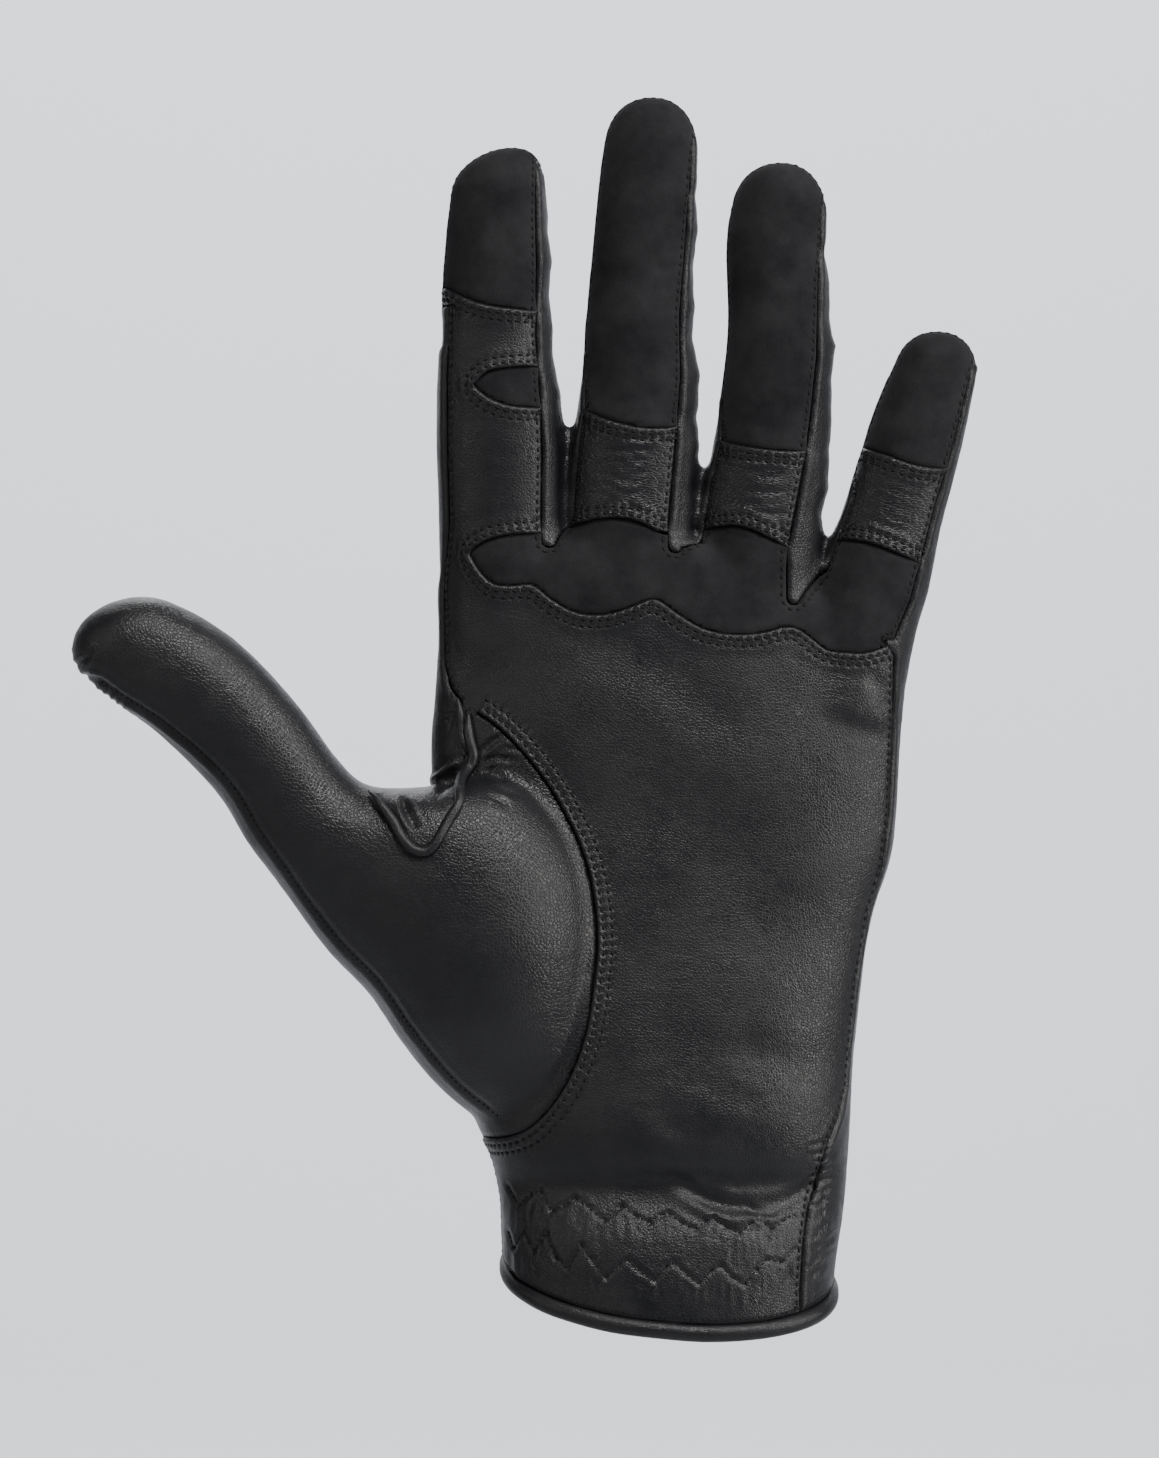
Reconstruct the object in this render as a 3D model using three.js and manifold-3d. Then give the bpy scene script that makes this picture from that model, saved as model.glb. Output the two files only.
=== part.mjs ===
// A leather riding glove for the left hand, in the shape it has when worn on an open hand.
// The palm faces -Y, the fingers point to +Z and the thumb to -X. The origin is the centre of the wrist opening.
// An outer and an inner form leave a wall of leather between them, which is cut into panels along the seams.
import * as THREE from "three";
import { mergeVertices } from "three/addons/utils/BufferGeometryUtils.js";
import Module from "manifold-3d";

const wasm = await Module();
wasm.setup();

// Driving dimensions in millimetres, angles in degrees
const leatherWall = 1.2;
const seamGap = 0.3;
const palmLength = 130; // hem to the highest crotch between two fingers
const palmWidth = 80;
const palmDepth = 27;
const knuckleDrop = 8.6; // how far the row of crotches falls towards the little finger
const fingerLength = 74.6; // the middle finger's
const fingerWidth = 22.4; // the middle finger's, at its root
const fingerForward = 5.5; // how far the longest fingertip leans towards the palm side
const fingerDepth = 0.86; // a finger's depth as a share of its width
const gussetWidth = 5.5; // the part of a gusset that lies behind the front panels
const gussetTipClear = 4; // a gusset's front edge ends this far below the fingertip
const gussetBackClear = 11; // and its back edge this far, so that the back reaches over the fingertip
const gussetTipWidth = 1.5;
const thumbLength = 117;
const thumbWidth = 20.6;
const thumbForward = 14;
const hemTilt = 5.6; // the hem is this much lower at the front than at the sides
const hemLift = 2.4; // both sides rise by this much
const hemSlope = 2.2; // the hem falls towards the little finger's side
const bindingRadius = 1.5;
const pipingRadius = 0.9;

// Facets round each form
const palmSides = 20;
const fingerSides = 12;
const thumbSides = 16;
const tipSteps = 3;
const bindingSteps = 28;
const bindingSides = 6;

// The palm from hem to crotches. Lengths are shares: at of palmLength, left, right and seam of palmWidth,
// front and back of palmDepth. seam is how far the side seam lies inside the outline, arch how much of the drop.
const palmRows = [
  { at: -0.12, left: 0.358, right: 0.346, front: 0.76, back: 0.76, seam: 0.07, arch: 0 },
  { at: 0, left: 0.358, right: 0.353, front: 0.76, back: 0.76, seam: 0.075, arch: 0 },
  { at: 0.07, left: 0.36, right: 0.368, front: 0.72, back: 0.72, seam: 0.075, arch: 0 },
  { at: 0.115, left: 0.365, right: 0.376, front: 0.63, back: 0.68, seam: 0.085, arch: 0 },
  { at: 0.14, left: 0.373, right: 0.38, front: 0.61, back: 0.66, seam: 0.08, arch: 0 },
  { at: 0.165, left: 0.383, right: 0.382, front: 0.7, back: 0.65, seam: 0.07, arch: 0 },
  { at: 0.21, left: 0.415, right: 0.389, front: 0.73, back: 0.63, seam: 0.04, arch: 0 },
  { at: 0.28, left: 0.44, right: 0.391, front: 0.7, back: 0.61, seam: 0.012, arch: 0 },
  { at: 0.4, left: 0.46, right: 0.411, front: 0.63, back: 0.57, seam: 0.012, arch: 0 },
  { at: 0.49, left: 0.482, right: 0.436, front: 0.57, back: 0.54, seam: 0.012, arch: 0 },
  { at: 0.55, left: 0.496, right: 0.47, front: 0.54, back: 0.52, seam: 0.012, arch: 0 },
  { at: 0.62, left: 0.505, right: 0.486, front: 0.51, back: 0.5, seam: 0.014, arch: 0.1 },
  { at: 0.72, left: 0.514, right: 0.492, front: 0.48, back: 0.49, seam: 0.016, arch: 0.3 },
  { at: 0.83, left: 0.505, right: 0.498, front: 0.43, back: 0.44, seam: 0.016, arch: 0.6 },
  { at: 0.91, left: 0.496, right: 0.503, front: 0.39, back: 0.4, seam: 0.012, arch: 0.85 },
];
const palmCap = [
  { at: 0.965, depth: 0.345 },
  { at: 0.987, depth: 0.28 },
  { at: 0.997, depth: 0.16 },
];
const archCentre = -0.1125; // share of palmWidth
const archReach = 0.38;

// The four fingers. rootX is a share of palmWidth, rootZ of palmLength, length of fingerLength, and width and tipWidth
// of fingerWidth. lean is in degrees. tipShift leans the tip by a share of fingerWidth. seamRoot and seamTip place the
// visible front seam, as shares of half the finger's width.
const fingerTable = [
  {
    name: "index",
    rootX: -0.3575,
    rootZ: 0.995,
    lean: 0,
    length: 0.883,
    width: 0.951,
    tipWidth: 0.741,
    tipShift: 0.071,
    seamRoot: 0.62,
    seamTip: 0.82,
  },
  {
    name: "middle",
    rootX: -0.084,
    rootZ: 0.995,
    lean: 3.3,
    length: 1,
    width: 1,
    tipWidth: 0.737,
    tipShift: -0.009,
    seamRoot: 0.57,
    seamTip: 0.93,
  },
  {
    name: "ring",
    rootX: 0.1875,
    rootZ: 0.966,
    lean: 3.6,
    length: 0.901,
    width: 0.973,
    tipWidth: 0.741,
    tipShift: 0.009,
    seamRoot: 0.46,
    seamTip: 0.96,
  },
  {
    name: "little",
    rootX: 0.43,
    rootZ: 0.919,
    lean: 16.6,
    length: 0.619,
    width: 0.844,
    tipWidth: 0.643,
    tipShift: 0.013,
    seamRoot: 0.74,
    seamTip: 0.86,
  },
];
const fingers = fingerTable.map((row) => ({
  ...row,
  length: row.length * fingerLength,
  width: row.width * fingerWidth,
  tipWidth: row.tipWidth * fingerWidth,
  tipShift: row.tipShift * fingerWidth,
}));
// Each finger's form: at is a share of its length, width and shift (to its right) are shares of its width
const fingerRows = {
  index: [
    { at: -0.35, width: 0.98, shift: 0.01 },
    { at: 0, width: 1, shift: 0 },
    { at: 0.27, width: 1.005, shift: -0.02 },
    { at: 0.38, width: 0.965, shift: -0.04 },
    { at: 0.51, width: 0.9, shift: -0.055 },
    { at: 0.64, width: 0.875, shift: -0.058 },
    { at: 0.76, width: 0.85, shift: -0.045 },
  ],
  middle: [
    { at: -0.3, width: 1, shift: 0 },
    { at: 0, width: 1, shift: 0 },
    { at: 0.2, width: 0.965, shift: -0.003 },
    { at: 0.37, width: 0.893, shift: 0.005 },
    { at: 0.47, width: 0.835, shift: -0.02 },
    { at: 0.6, width: 0.79, shift: -0.025 },
    { at: 0.76, width: 0.77, shift: -0.02 },
  ],
  ring: [
    { at: -0.34, width: 1, shift: 0 },
    { at: 0, width: 1, shift: 0 },
    { at: 0.12, width: 0.99, shift: 0.015 },
    { at: 0.26, width: 0.94, shift: 0.062 },
    { at: 0.37, width: 0.89, shift: 0.067 },
    { at: 0.5, width: 0.852, shift: 0.07 },
    { at: 0.62, width: 0.82, shift: 0.045 },
    { at: 0.78, width: 0.798, shift: 0 },
  ],
  little: [
    { at: -0.48, width: 1.24, shift: 0 },
    { at: -0.15, width: 1.03, shift: 0.005 },
    { at: 0.06, width: 1, shift: 0.01 },
    { at: 0.3, width: 0.91, shift: 0 },
    { at: 0.54, width: 0.885, shift: 0 },
    { at: 0.68, width: 0.84, shift: 0 },
  ],
};

// The thumb and the ball of the thumb. along is a share of thumbLength from root to tip; across, width and depth are
// shares of thumbWidth; forward is a share of thumbForward; seam is the front seam as a share of half the width.
const thumbRootX = -0.236;
const thumbRootZ = 0.225;
const thumbAngle = 43.8; // the thumb's axis from +Z towards -X
const thumbRows = [
  { along: 0.0, across: 0.1, width: 0.7, depth: 1.2, forward: 0.02, seam: 0.8 },
  { along: 0.06, across: 0.16, width: 1.3, depth: 1.5, forward: 0.1, seam: 0.82 },
  { along: 0.145, across: 0.37, width: 1.9, depth: 1.75, forward: 0.25, seam: 0.84 },
  { along: 0.23, across: 0.53, width: 2.14, depth: 1.78, forward: 0.4, seam: 0.86 },
  { along: 0.325, across: 0.64, width: 2.18, depth: 1.66, forward: 0.52, seam: 0.87 },
  { along: 0.41, across: 0.58, width: 2.06, depth: 1.44, forward: 0.64, seam: 0.86 },
  { along: 0.48, across: 0.35, width: 1.5, depth: 1.22, forward: 0.74, seam: 0.82 },
  { along: 0.54, across: 0.2, width: 1.1, depth: 1.08, forward: 0.82, seam: 0.74 },
  { along: 0.6, across: 0.21, width: 1.03, depth: 1.0, forward: 0.88, seam: 0.7 },
  { along: 0.69, across: 0.3, width: 0.985, depth: 0.95, forward: 0.95, seam: 0.7 },
  { along: 0.81, across: 0.295, width: 1.0, depth: 0.92, forward: 1, seam: 0.78 },
  { along: 0.885, across: 0.215, width: 0.99, depth: 0.88, forward: 1, seam: 0.84 },
];
const thumbTip = { along: 0.925, across: 0.16, width: 0.92, depth: 0.84, forward: 1, seam: 0.9, drift: -0.14 };

// The gusset in the crotch of the thumb, in the front view, in the same shares as the thumb's rows
const webOutline = [
  { along: 0.549, across: 0.734 },
  { along: 0.521, across: 0.751 },
  { along: 0.486, across: 0.725 },
  { along: 0.453, across: 0.671 },
  { along: 0.43, across: 0.673 },
  { along: 0.415, across: 0.723 },
  { along: 0.415, across: 0.827 },
  { along: 0.421, across: 0.95 },
  { along: 0.432, across: 1.096 },
  { along: 0.44, across: 1.268 },
  { along: 0.463, across: 1.37 },
  { along: 0.477, across: 1.523 },
  { along: 0.503, across: 1.663 },
  { along: 0.524, across: 1.753 },
  { along: 0.528, across: 1.68 },
  { along: 0.513, across: 1.493 },
  { along: 0.515, across: 1.279 },
  { along: 0.542, across: 1.156 },
  { along: 0.575, across: 1.014 },
];
const pipingFirst = 1; // the piping follows the web's outline from this point
const pipingLast = 12; // up to this one

// Outlines in the front view: x is a share of palmWidth and z of palmLength
const ballCurve = [
  { x: -0.428, z: 0.759 },
  { x: -0.374, z: 0.737 },
  { x: -0.316, z: 0.701 },
  { x: -0.267, z: 0.662 },
  { x: -0.224, z: 0.618 },
  { x: -0.189, z: 0.57 },
  { x: -0.168, z: 0.517 },
  { x: -0.159, z: 0.451 },
  { x: -0.168, z: 0.394 },
  { x: -0.181, z: 0.341 },
  { x: -0.211, z: 0.284 },
  { x: -0.254, z: 0.241 },
  { x: -0.303, z: 0.21 },
  { x: -0.346, z: 0.198 },
  { x: -0.385, z: 0.194 },
];
const thumbBackCurve = [
  { x: -0.345, z: 0.216 },
  { x: -0.375, z: 0.29 },
  { x: -0.415, z: 0.42 },
  { x: -0.465, z: 0.56 },
  { x: -0.52, z: 0.68 },
];
// The palm panel's left edge above the thumb, up to the index finger
const palmLeftEdge = [
  { x: -0.436, z: 0.755 },
  { x: -0.454, z: 0.772 },
  { x: -0.4725, z: 0.787 },
  { x: -0.486, z: 0.82 },
  { x: -0.4875, z: 0.92 },
];
const indexBackEdge = 0.585; // the back shows along the index finger's left side up to this share
const indexBackShows = 1.2;
// The eye-shaped patch on the index finger's middle joint
const eyeOutline = [
  { x: -0.421, z: 1.185 },
  { x: -0.393, z: 1.201 },
  { x: -0.357, z: 1.207 },
  { x: -0.236, z: 1.209 },
  { x: -0.236, z: 1.156 },
  { x: -0.284, z: 1.156 },
  { x: -0.353, z: 1.16 },
  { x: -0.398, z: 1.172 },
];
// The grip patch under the fingers, its top edge and then its scalloped lower edge
const gripTop = [
  { x: -0.43, z: 0.962 },
  { x: -0.421, z: 0.971 },
  { x: -0.383, z: 0.983 },
  { x: -0.338, z: 0.988 },
  { x: -0.29, z: 0.99 },
  { x: -0.226, z: 0.998 },
  { x: -0.191, z: 1.004 },
  { x: -0.148, z: 1.01 },
  { x: -0.09, z: 1.008 },
  { x: -0.052, z: 1.0 },
  { x: -0.011, z: 0.988 },
  { x: 0.054, z: 0.994 },
  { x: 0.092, z: 0.998 },
  { x: 0.133, z: 1.0 },
  { x: 0.172, z: 0.995 },
  { x: 0.213, z: 0.983 },
  { x: 0.279, z: 0.967 },
  { x: 0.346, z: 0.982 },
  { x: 0.389, z: 0.982 },
  { x: 0.432, z: 0.976 },
  { x: 0.488, z: 0.963 },
  { x: 0.548, z: 0.947 },
  { x: 0.623, z: 0.924 },
];
const gripScallops = [
  { x: 0.623, z: 0.877 },
  { x: 0.501, z: 0.853 },
  { x: 0.46, z: 0.841 },
  { x: 0.411, z: 0.834 },
  { x: 0.37, z: 0.835 },
  { x: 0.333, z: 0.839 },
  { x: 0.299, z: 0.855 },
  { x: 0.269, z: 0.867 },
  { x: 0.239, z: 0.868 },
  { x: 0.202, z: 0.861 },
  { x: 0.159, z: 0.859 },
  { x: 0.107, z: 0.86 },
  { x: 0.062, z: 0.868 },
  { x: 0.019, z: 0.884 },
  { x: -0.034, z: 0.905 },
  { x: -0.082, z: 0.896 },
  { x: -0.127, z: 0.886 },
  { x: -0.17, z: 0.884 },
  { x: -0.213, z: 0.889 },
  { x: -0.254, z: 0.904 },
  { x: -0.299, z: 0.924 },
  { x: -0.338, z: 0.922 },
  { x: -0.378, z: 0.925 },
  { x: -0.406, z: 0.939 },
];
// Lower edges of the fingertip patches: shares of the finger's length at the left, middle and right
const tipEdges = {
  index: { left: 0.64, middle: 0.574, right: 0.567 },
  middle: { left: 0.285, middle: 0.236, right: 0.256 },
  ring: { left: 0.294, middle: 0.262, right: 0.268 },
  little: { left: 0.495, middle: 0.485, right: 0.525 },
};

// Plain helpers
const join = (solids) => solids.reduce((all, one) => all.add(one));
const radians = THREE.MathUtils.degToRad;
const lerp = THREE.MathUtils.lerp;
const point = (x, y, z) => new THREE.Vector3(x, y, z);
const onPalm = (row) => new THREE.Vector2(row.x * palmWidth, row.z * palmLength);
const farOut = 3 * palmLength; // larger than the glove, for cutters
const outside = 0.15 * palmWidth; // clear of a finger's or the thumb's side, for cutters

// A closed geometry as a solid that can be cut and joined
function solidOf(geometry) {
  const bare = new THREE.BufferGeometry();
  bare.setAttribute("position", geometry.getAttribute("position"));
  if (geometry.index) bare.setIndex(geometry.index);
  const merged = mergeVertices(bare, 1e-4);
  return new wasm.Manifold(
    new wasm.Mesh({
      numProp: 3,
      vertProperties: new Float32Array(merged.attributes.position.array),
      triVerts: new Uint32Array(merged.index.array),
    }),
  );
}

// A solid back as a geometry with flat faces
function geometryOf(solid) {
  const mesh = solid.getMesh();
  const positions = new Float32Array(mesh.numVert * 3);
  for (let i = 0; i < mesh.numVert; i++)
    positions.set(mesh.vertProperties.subarray(i * mesh.numProp, i * mesh.numProp + 3), i * 3);
  const geometry = new THREE.BufferGeometry();
  geometry.setAttribute("position", new THREE.BufferAttribute(positions, 3));
  geometry.setIndex(new THREE.BufferAttribute(mesh.triVerts, 1));
  return geometry;
}

// A cut can leave loose slivers at a seam's end: the piece is the largest body
function mainBody(solid) {
  return solid.decompose().sort((a, b) => b.volume() - a.volume())[0];
}

// Rings of equal length joined into a closed skin with a fan at each end
function loft(rings) {
  const sides = rings[0].length;
  const positions = rings.flat();
  const faces = [];
  for (let r = 0; r + 1 < rings.length; r++)
    for (let i = 0; i < sides; i++) {
      const a = r * sides + i;
      const b = r * sides + ((i + 1) % sides);
      faces.push(a, b, b + sides, a, b + sides, a + sides);
    }
  const mean = (ring) => ring.reduce((sum, p) => sum.add(p), point(0, 0, 0)).divideScalar(sides);
  const first = positions.push(mean(rings[0])) - 1;
  const last = positions.push(mean(rings.at(-1))) - 1;
  const top = (rings.length - 1) * sides;
  for (let i = 0; i < sides; i++) {
    const next = (i + 1) % sides;
    faces.push(first, next, i, last, top + i, top + next);
  }
  return new THREE.BufferGeometry().setFromPoints(positions).setIndex(faces);
}

// One rounded section: across and depth are unit vectors, half holds its four half sizes
function section(centre, across, depth, half, sides, squareness) {
  const bend = (t) => Math.sign(t) * Math.abs(t) ** (2 / squareness);
  return Array.from({ length: sides }, (_, i) => {
    const angle = (2 * Math.PI * i) / sides;
    const x = bend(Math.cos(angle));
    const y = bend(Math.sin(angle));
    return centre
      .clone()
      .addScaledVector(across, x * (x > 0 ? half.right : half.left))
      .addScaledVector(depth, y * (y > 0 ? half.back : half.front));
  });
}

// The surface midway between palm side and back: flat in the palm, leaning forward along the fingers
const longest = Math.max(...fingers.map((f) => f.rootZ * palmLength + f.length));
const leanStart = 0.88 * palmLength;
function middleY(z) {
  const share = Math.max(0, (z - leanStart) / (longest - leanStart));
  return -fingerForward * share * (0.6 + 0.4 * share);
}

// The palm's form, made smaller by an inset for the inside
function palmForm(inset) {
  const archOf = (x, arch) => arch * knuckleDrop * ((x / palmWidth - archCentre) / archReach) ** 2;
  const squareness = 2.5;
  const ringAt = (z, row, front, back) => {
    const half = {
      left: row.left * palmWidth - inset,
      right: row.right * palmWidth - inset,
      front: front * palmDepth - inset,
      back: back * palmDepth - inset,
    };
    const ring = section(point(0, 0, z), point(1, 0, 0), point(0, 1, 0), half, palmSides, squareness);
    for (const p of ring) {
      p.z -= archOf(p.x, row.arch);
      p.y += middleY(p.z);
    }
    return ring;
  };
  const rings = palmRows.map((row) => ringAt(row.at * palmLength, row, row.front, row.back));
  const top = { ...palmRows.at(-1), arch: 1 };
  for (const cap of palmCap) rings.push(ringAt(cap.at * palmLength - inset, top, cap.depth, cap.depth));
  return solidOf(loft(rings));
}

// A column of a table at a share between its rows
function interpolated(rows, share, column) {
  const next = rows.findIndex((row) => row.at > share);
  if (next < 1) return (next === 0 ? rows[0] : rows.at(-1))[column];
  const before = rows[next - 1];
  return THREE.MathUtils.mapLinear(share, before.at, rows[next].at, before[column], rows[next][column]);
}

// Places on a finger: share is along its length and side in millimetres from its axis
function onFinger(finger, share, side = 0) {
  const lean = radians(finger.lean);
  const along = share * finger.length;
  const x = finger.rootX * palmWidth + along * Math.sin(lean) + side * Math.cos(lean);
  const z = finger.rootZ * palmLength + along * Math.cos(lean) - side * Math.sin(lean);
  return new THREE.Vector2(x, z);
}
const widthAt = (finger, share) => finger.width * interpolated(fingerRows[finger.name], share, "width");
const shiftAt = (finger, share) => finger.width * interpolated(fingerRows[finger.name], share, "shift");

function fingerForm(finger, inset) {
  const lean = radians(finger.lean);
  const across = point(Math.cos(lean), 0, -Math.sin(lean));
  const ringAt = (share, halfWidth, shift) => {
    const half = halfWidth - inset;
    const depth = halfWidth * fingerDepth - inset;
    const flat = onFinger(finger, share, shift);
    const sizes = { left: half, right: half, front: depth, back: depth };
    return section(point(flat.x, middleY(flat.y), flat.y), across, point(0, 1, 0), sizes, fingerSides, 2.15);
  };
  const rows = fingerRows[finger.name];
  const rings = rows.map((row) => ringAt(row.at, (row.width * finger.width) / 2, row.shift * finger.width));
  const radius = finger.tipWidth / 2;
  const shift = rows.at(-1).shift * finger.width;
  for (let i = 0; i <= tipSteps; i++) {
    const angle = (i / tipSteps) * radians(80);
    const along = finger.length - radius + (radius - inset) * Math.sin(angle);
    const half = (radius - inset) * Math.cos(angle) + inset;
    rings.push(ringAt(along / finger.length, half, shift + (finger.tipShift - shift) * Math.sin(angle) ** 2));
  }
  return solidOf(loft(rings));
}

// Places along the thumb, in the front view
const thumbAxis = point(-Math.sin(radians(thumbAngle)), 0, Math.cos(radians(thumbAngle)));
const thumbAcross = point(Math.cos(radians(thumbAngle)), 0, Math.sin(radians(thumbAngle)));
const thumbRoot = point(thumbRootX * palmWidth, 0, thumbRootZ * palmLength);
function onThumb(row, side = 0) {
  return thumbRoot
    .clone()
    .addScaledVector(thumbAxis, row.along * thumbLength)
    .addScaledVector(thumbAcross, row.across * thumbWidth + side)
    .setY(-row.forward * thumbForward);
}

function thumbForm(inset) {
  const ringOf = (row, centre, share) => {
    const half = ((row.width * thumbWidth) / 2 - inset) * share;
    const depth = ((row.depth * thumbWidth) / 2 - inset) * share;
    const sizes = { left: half, right: half, front: depth, back: depth };
    return section(centre, thumbAcross, point(0, 1, 0), sizes, thumbSides, 2.15);
  };
  const rings = thumbRows.map((row) => ringOf(row, onThumb(row), 1));
  const radius = (1 - thumbTip.along) * thumbLength - inset;
  for (let i = 0; i <= tipSteps; i++) {
    const angle = (i / tipSteps) * radians(80);
    const row = { ...thumbTip, along: thumbTip.along + (radius * Math.sin(angle)) / thumbLength };
    const drift = thumbTip.drift * thumbWidth * Math.sin(angle);
    rings.push(ringOf(thumbTip, onThumb(row, drift), Math.cos(angle)));
  }
  return solidOf(loft(rings));
}

// A flat outline pushed out along the direction square to u and v
function prism(outline, u, v, from, to) {
  const shape = new THREE.Shape(outline);
  const geometry = new THREE.ExtrudeGeometry(shape, { depth: to - from, bevelEnabled: false });
  const w = u.clone().cross(v);
  geometry.translate(0, 0, from);
  geometry.applyMatrix4(new THREE.Matrix4().makeBasis(u, v, w));
  return solidOf(geometry);
}

// Moves each corner of a closed outline outwards by the same distance
function grown(outline, distance) {
  const turn = THREE.ShapeUtils.area(outline) > 0 ? 1 : -1;
  const normal = (a, b) => new THREE.Vector2(b.y - a.y, a.x - b.x).multiplyScalar(turn).normalize();
  return outline.map((p, i) => {
    const before = normal(outline.at(i - 1), p);
    const after = normal(p, outline[(i + 1) % outline.length]);
    const sum = before.clone().add(after);
    return p.clone().addScaledVector(sum, (2 * distance) / Math.max(sum.lengthSq(), 0.5));
  });
}

const alongX = point(1, 0, 0);
const alongY = point(0, 1, 0);
const alongZ = point(0, 0, 1);
// Everything inside an outline of the front view, from front to back
const throughGlove = (outline, grow) => prism(grown(outline, grow), alongX, alongZ, -farOut, farOut);

// Everything in front of the middle surface, moved back by a distance
function frontHalf(back) {
  const levels = [-farOut, leanStart, lerp(leanStart, longest, 0.5), longest, farOut];
  const edge = levels.map((z) => new THREE.Vector2(middleY(Math.min(z, longest)) + back, z));
  const outline = [new THREE.Vector2(-farOut, -farOut), ...edge, new THREE.Vector2(-farOut, farOut)];
  return prism(outline, alongY, alongZ, -farOut, farOut);
}

// Everything in front of the thumb's own middle surface
function thumbFrontHalf(back) {
  const rows = [...thumbRows, thumbTip];
  const edge = rows.map((row) => new THREE.Vector2(row.along * thumbLength, back - row.forward * thumbForward));
  const outline = [
    new THREE.Vector2(-farOut, -farOut),
    new THREE.Vector2(-farOut, edge[0].y),
    ...edge,
    new THREE.Vector2(farOut, edge.at(-1).y),
    new THREE.Vector2(farOut, -farOut),
  ];
  const half = prism(outline, thumbAxis, alongY, -farOut, farOut);
  return half.translate([thumbRoot.x, 0, thumbRoot.z]);
}

const flat = (p) => new THREE.Vector2(p.x, p.z);
const onThumbFlat = (row) => flat(onThumb({ ...row, forward: 0 }));

// The thumb's front panel in the front view: down the ball's seam, up the thumb's own seam and round the outside
const thumbSeam = [...thumbRows, thumbTip].map((row) => flat(onThumb(row, (-row.seam * row.width * thumbWidth) / 2)));
const thumbTopSide = [...thumbRows.slice(8), thumbTip]
  .map((row) => flat(onThumb(row, (row.width * thumbWidth) / 2 + outside)))
  .reverse();
const beyondTip = flat(onThumb({ ...thumbTip, along: 1.15 }));
const thumbLowSide = thumbRows.slice(1).map((row) => flat(onThumb(row, (-row.width * thumbWidth) / 2 - outside)));
const lowTipCorner = flat(onThumb({ ...thumbTip, along: 1.15 }, -thumbWidth));
const lowRoot = onPalm({ x: -0.45, z: ballCurve.at(-1).z });
// The thumb is one panel: its outline in the front view differs between the palm side and the back
const thumbFrontOutline = [
  ...ballCurve.map(onPalm),
  lowRoot,
  ...thumbLowSide,
  lowTipCorner,
  beyondTip,
  ...thumbTopSide,
  ...webOutline.slice(-1).map(onThumbFlat),
];
const thumbBackOutline = [
  ...thumbBackCurve.map(onPalm).reverse(),
  lowRoot,
  ...thumbLowSide,
  lowTipCorner,
  beyondTip,
  ...thumbTopSide,
];
// The thumb's own seam, where the panel's two long edges meet, is a narrow cut along the outer side
const tipSeamEnd = flat(onThumb({ ...thumbTip, along: 0.985 }, -0.3 * thumbTip.width * thumbWidth));
const seamLine = [...thumbSeam, tipSeamEnd];
const seamCutOutline = [
  ...seamLine.map((p) => p.clone().addScaledVector(flat(thumbAcross), seamGap / 2)),
  ...seamLine.map((p) => p.clone().addScaledVector(flat(thumbAcross), -seamGap / 2)).reverse(),
];

// The front panels in the front view: a comb with a tooth for each finger
const frontSeam = (finger, share) => {
  const seam = lerp(finger.seamRoot, finger.seamTip, share);
  return onFinger(finger, share, shiftAt(finger, share) + (seam * widthAt(finger, share)) / 2);
};
const crotches = fingers.slice(1).map((right, i) => {
  const left = fingers[i];
  const x = (onFinger(left, 0).x + onFinger(right, 0).x) / 2;
  const reach = (x / palmWidth - archCentre) / archReach;
  return new THREE.Vector2(x, palmCap.at(-1).at * palmLength - knuckleDrop * reach ** 2);
});
const crotchCut = 2 * leatherWall; // a gusset reaches this far below its crotch
const fingerClear = 0.8; // a finger's front panel is cut this far outside its left side
const gussetFoot = 2.4; // width of a gusset's narrow end in the crotch
// The left seam of a finger's front panel: beyond is the distance outside the finger's left side
const leftSeamRows = [
  { at: 0.02, beyond: -1 },
  { at: 0.28, beyond: -1 },
  { at: 0.42, beyond: 0 },
  { at: 0.56, beyond: fingerClear },
];
// A gusset's foot is narrow and rounded: its corners from left to right
const crotchFeet = crotches.map((crotch, i) => {
  const x = frontSeam(fingers[i], 0).x;
  const y = crotch.y - crotchCut;
  return [0, 0.3, 0.7, 1].map((share) => {
    const lift = Math.abs(share - 0.5) > 0.4 ? 0.4 * gussetFoot : 0;
    return new THREE.Vector2(x + share * gussetFoot, y + lift);
  });
});
const palmOutline = [new THREE.Vector2(-farOut, -farOut), new THREE.Vector2(-farOut, palmLeftEdge[0].z * palmLength)];
palmOutline.push(...palmLeftEdge.map(onPalm), onFinger(fingers[0], -0.1));
crotchFeet.forEach((foot, i) => {
  palmOutline.push(...foot, onFinger(fingers[i + 1], -0.1));
});
for (const row of palmRows.slice(0, -1).reverse())
  palmOutline.push(new THREE.Vector2((row.right - row.seam) * palmWidth, row.at * palmLength));
palmOutline.push(new THREE.Vector2(palmOutline.at(-1).x, -farOut));

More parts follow.
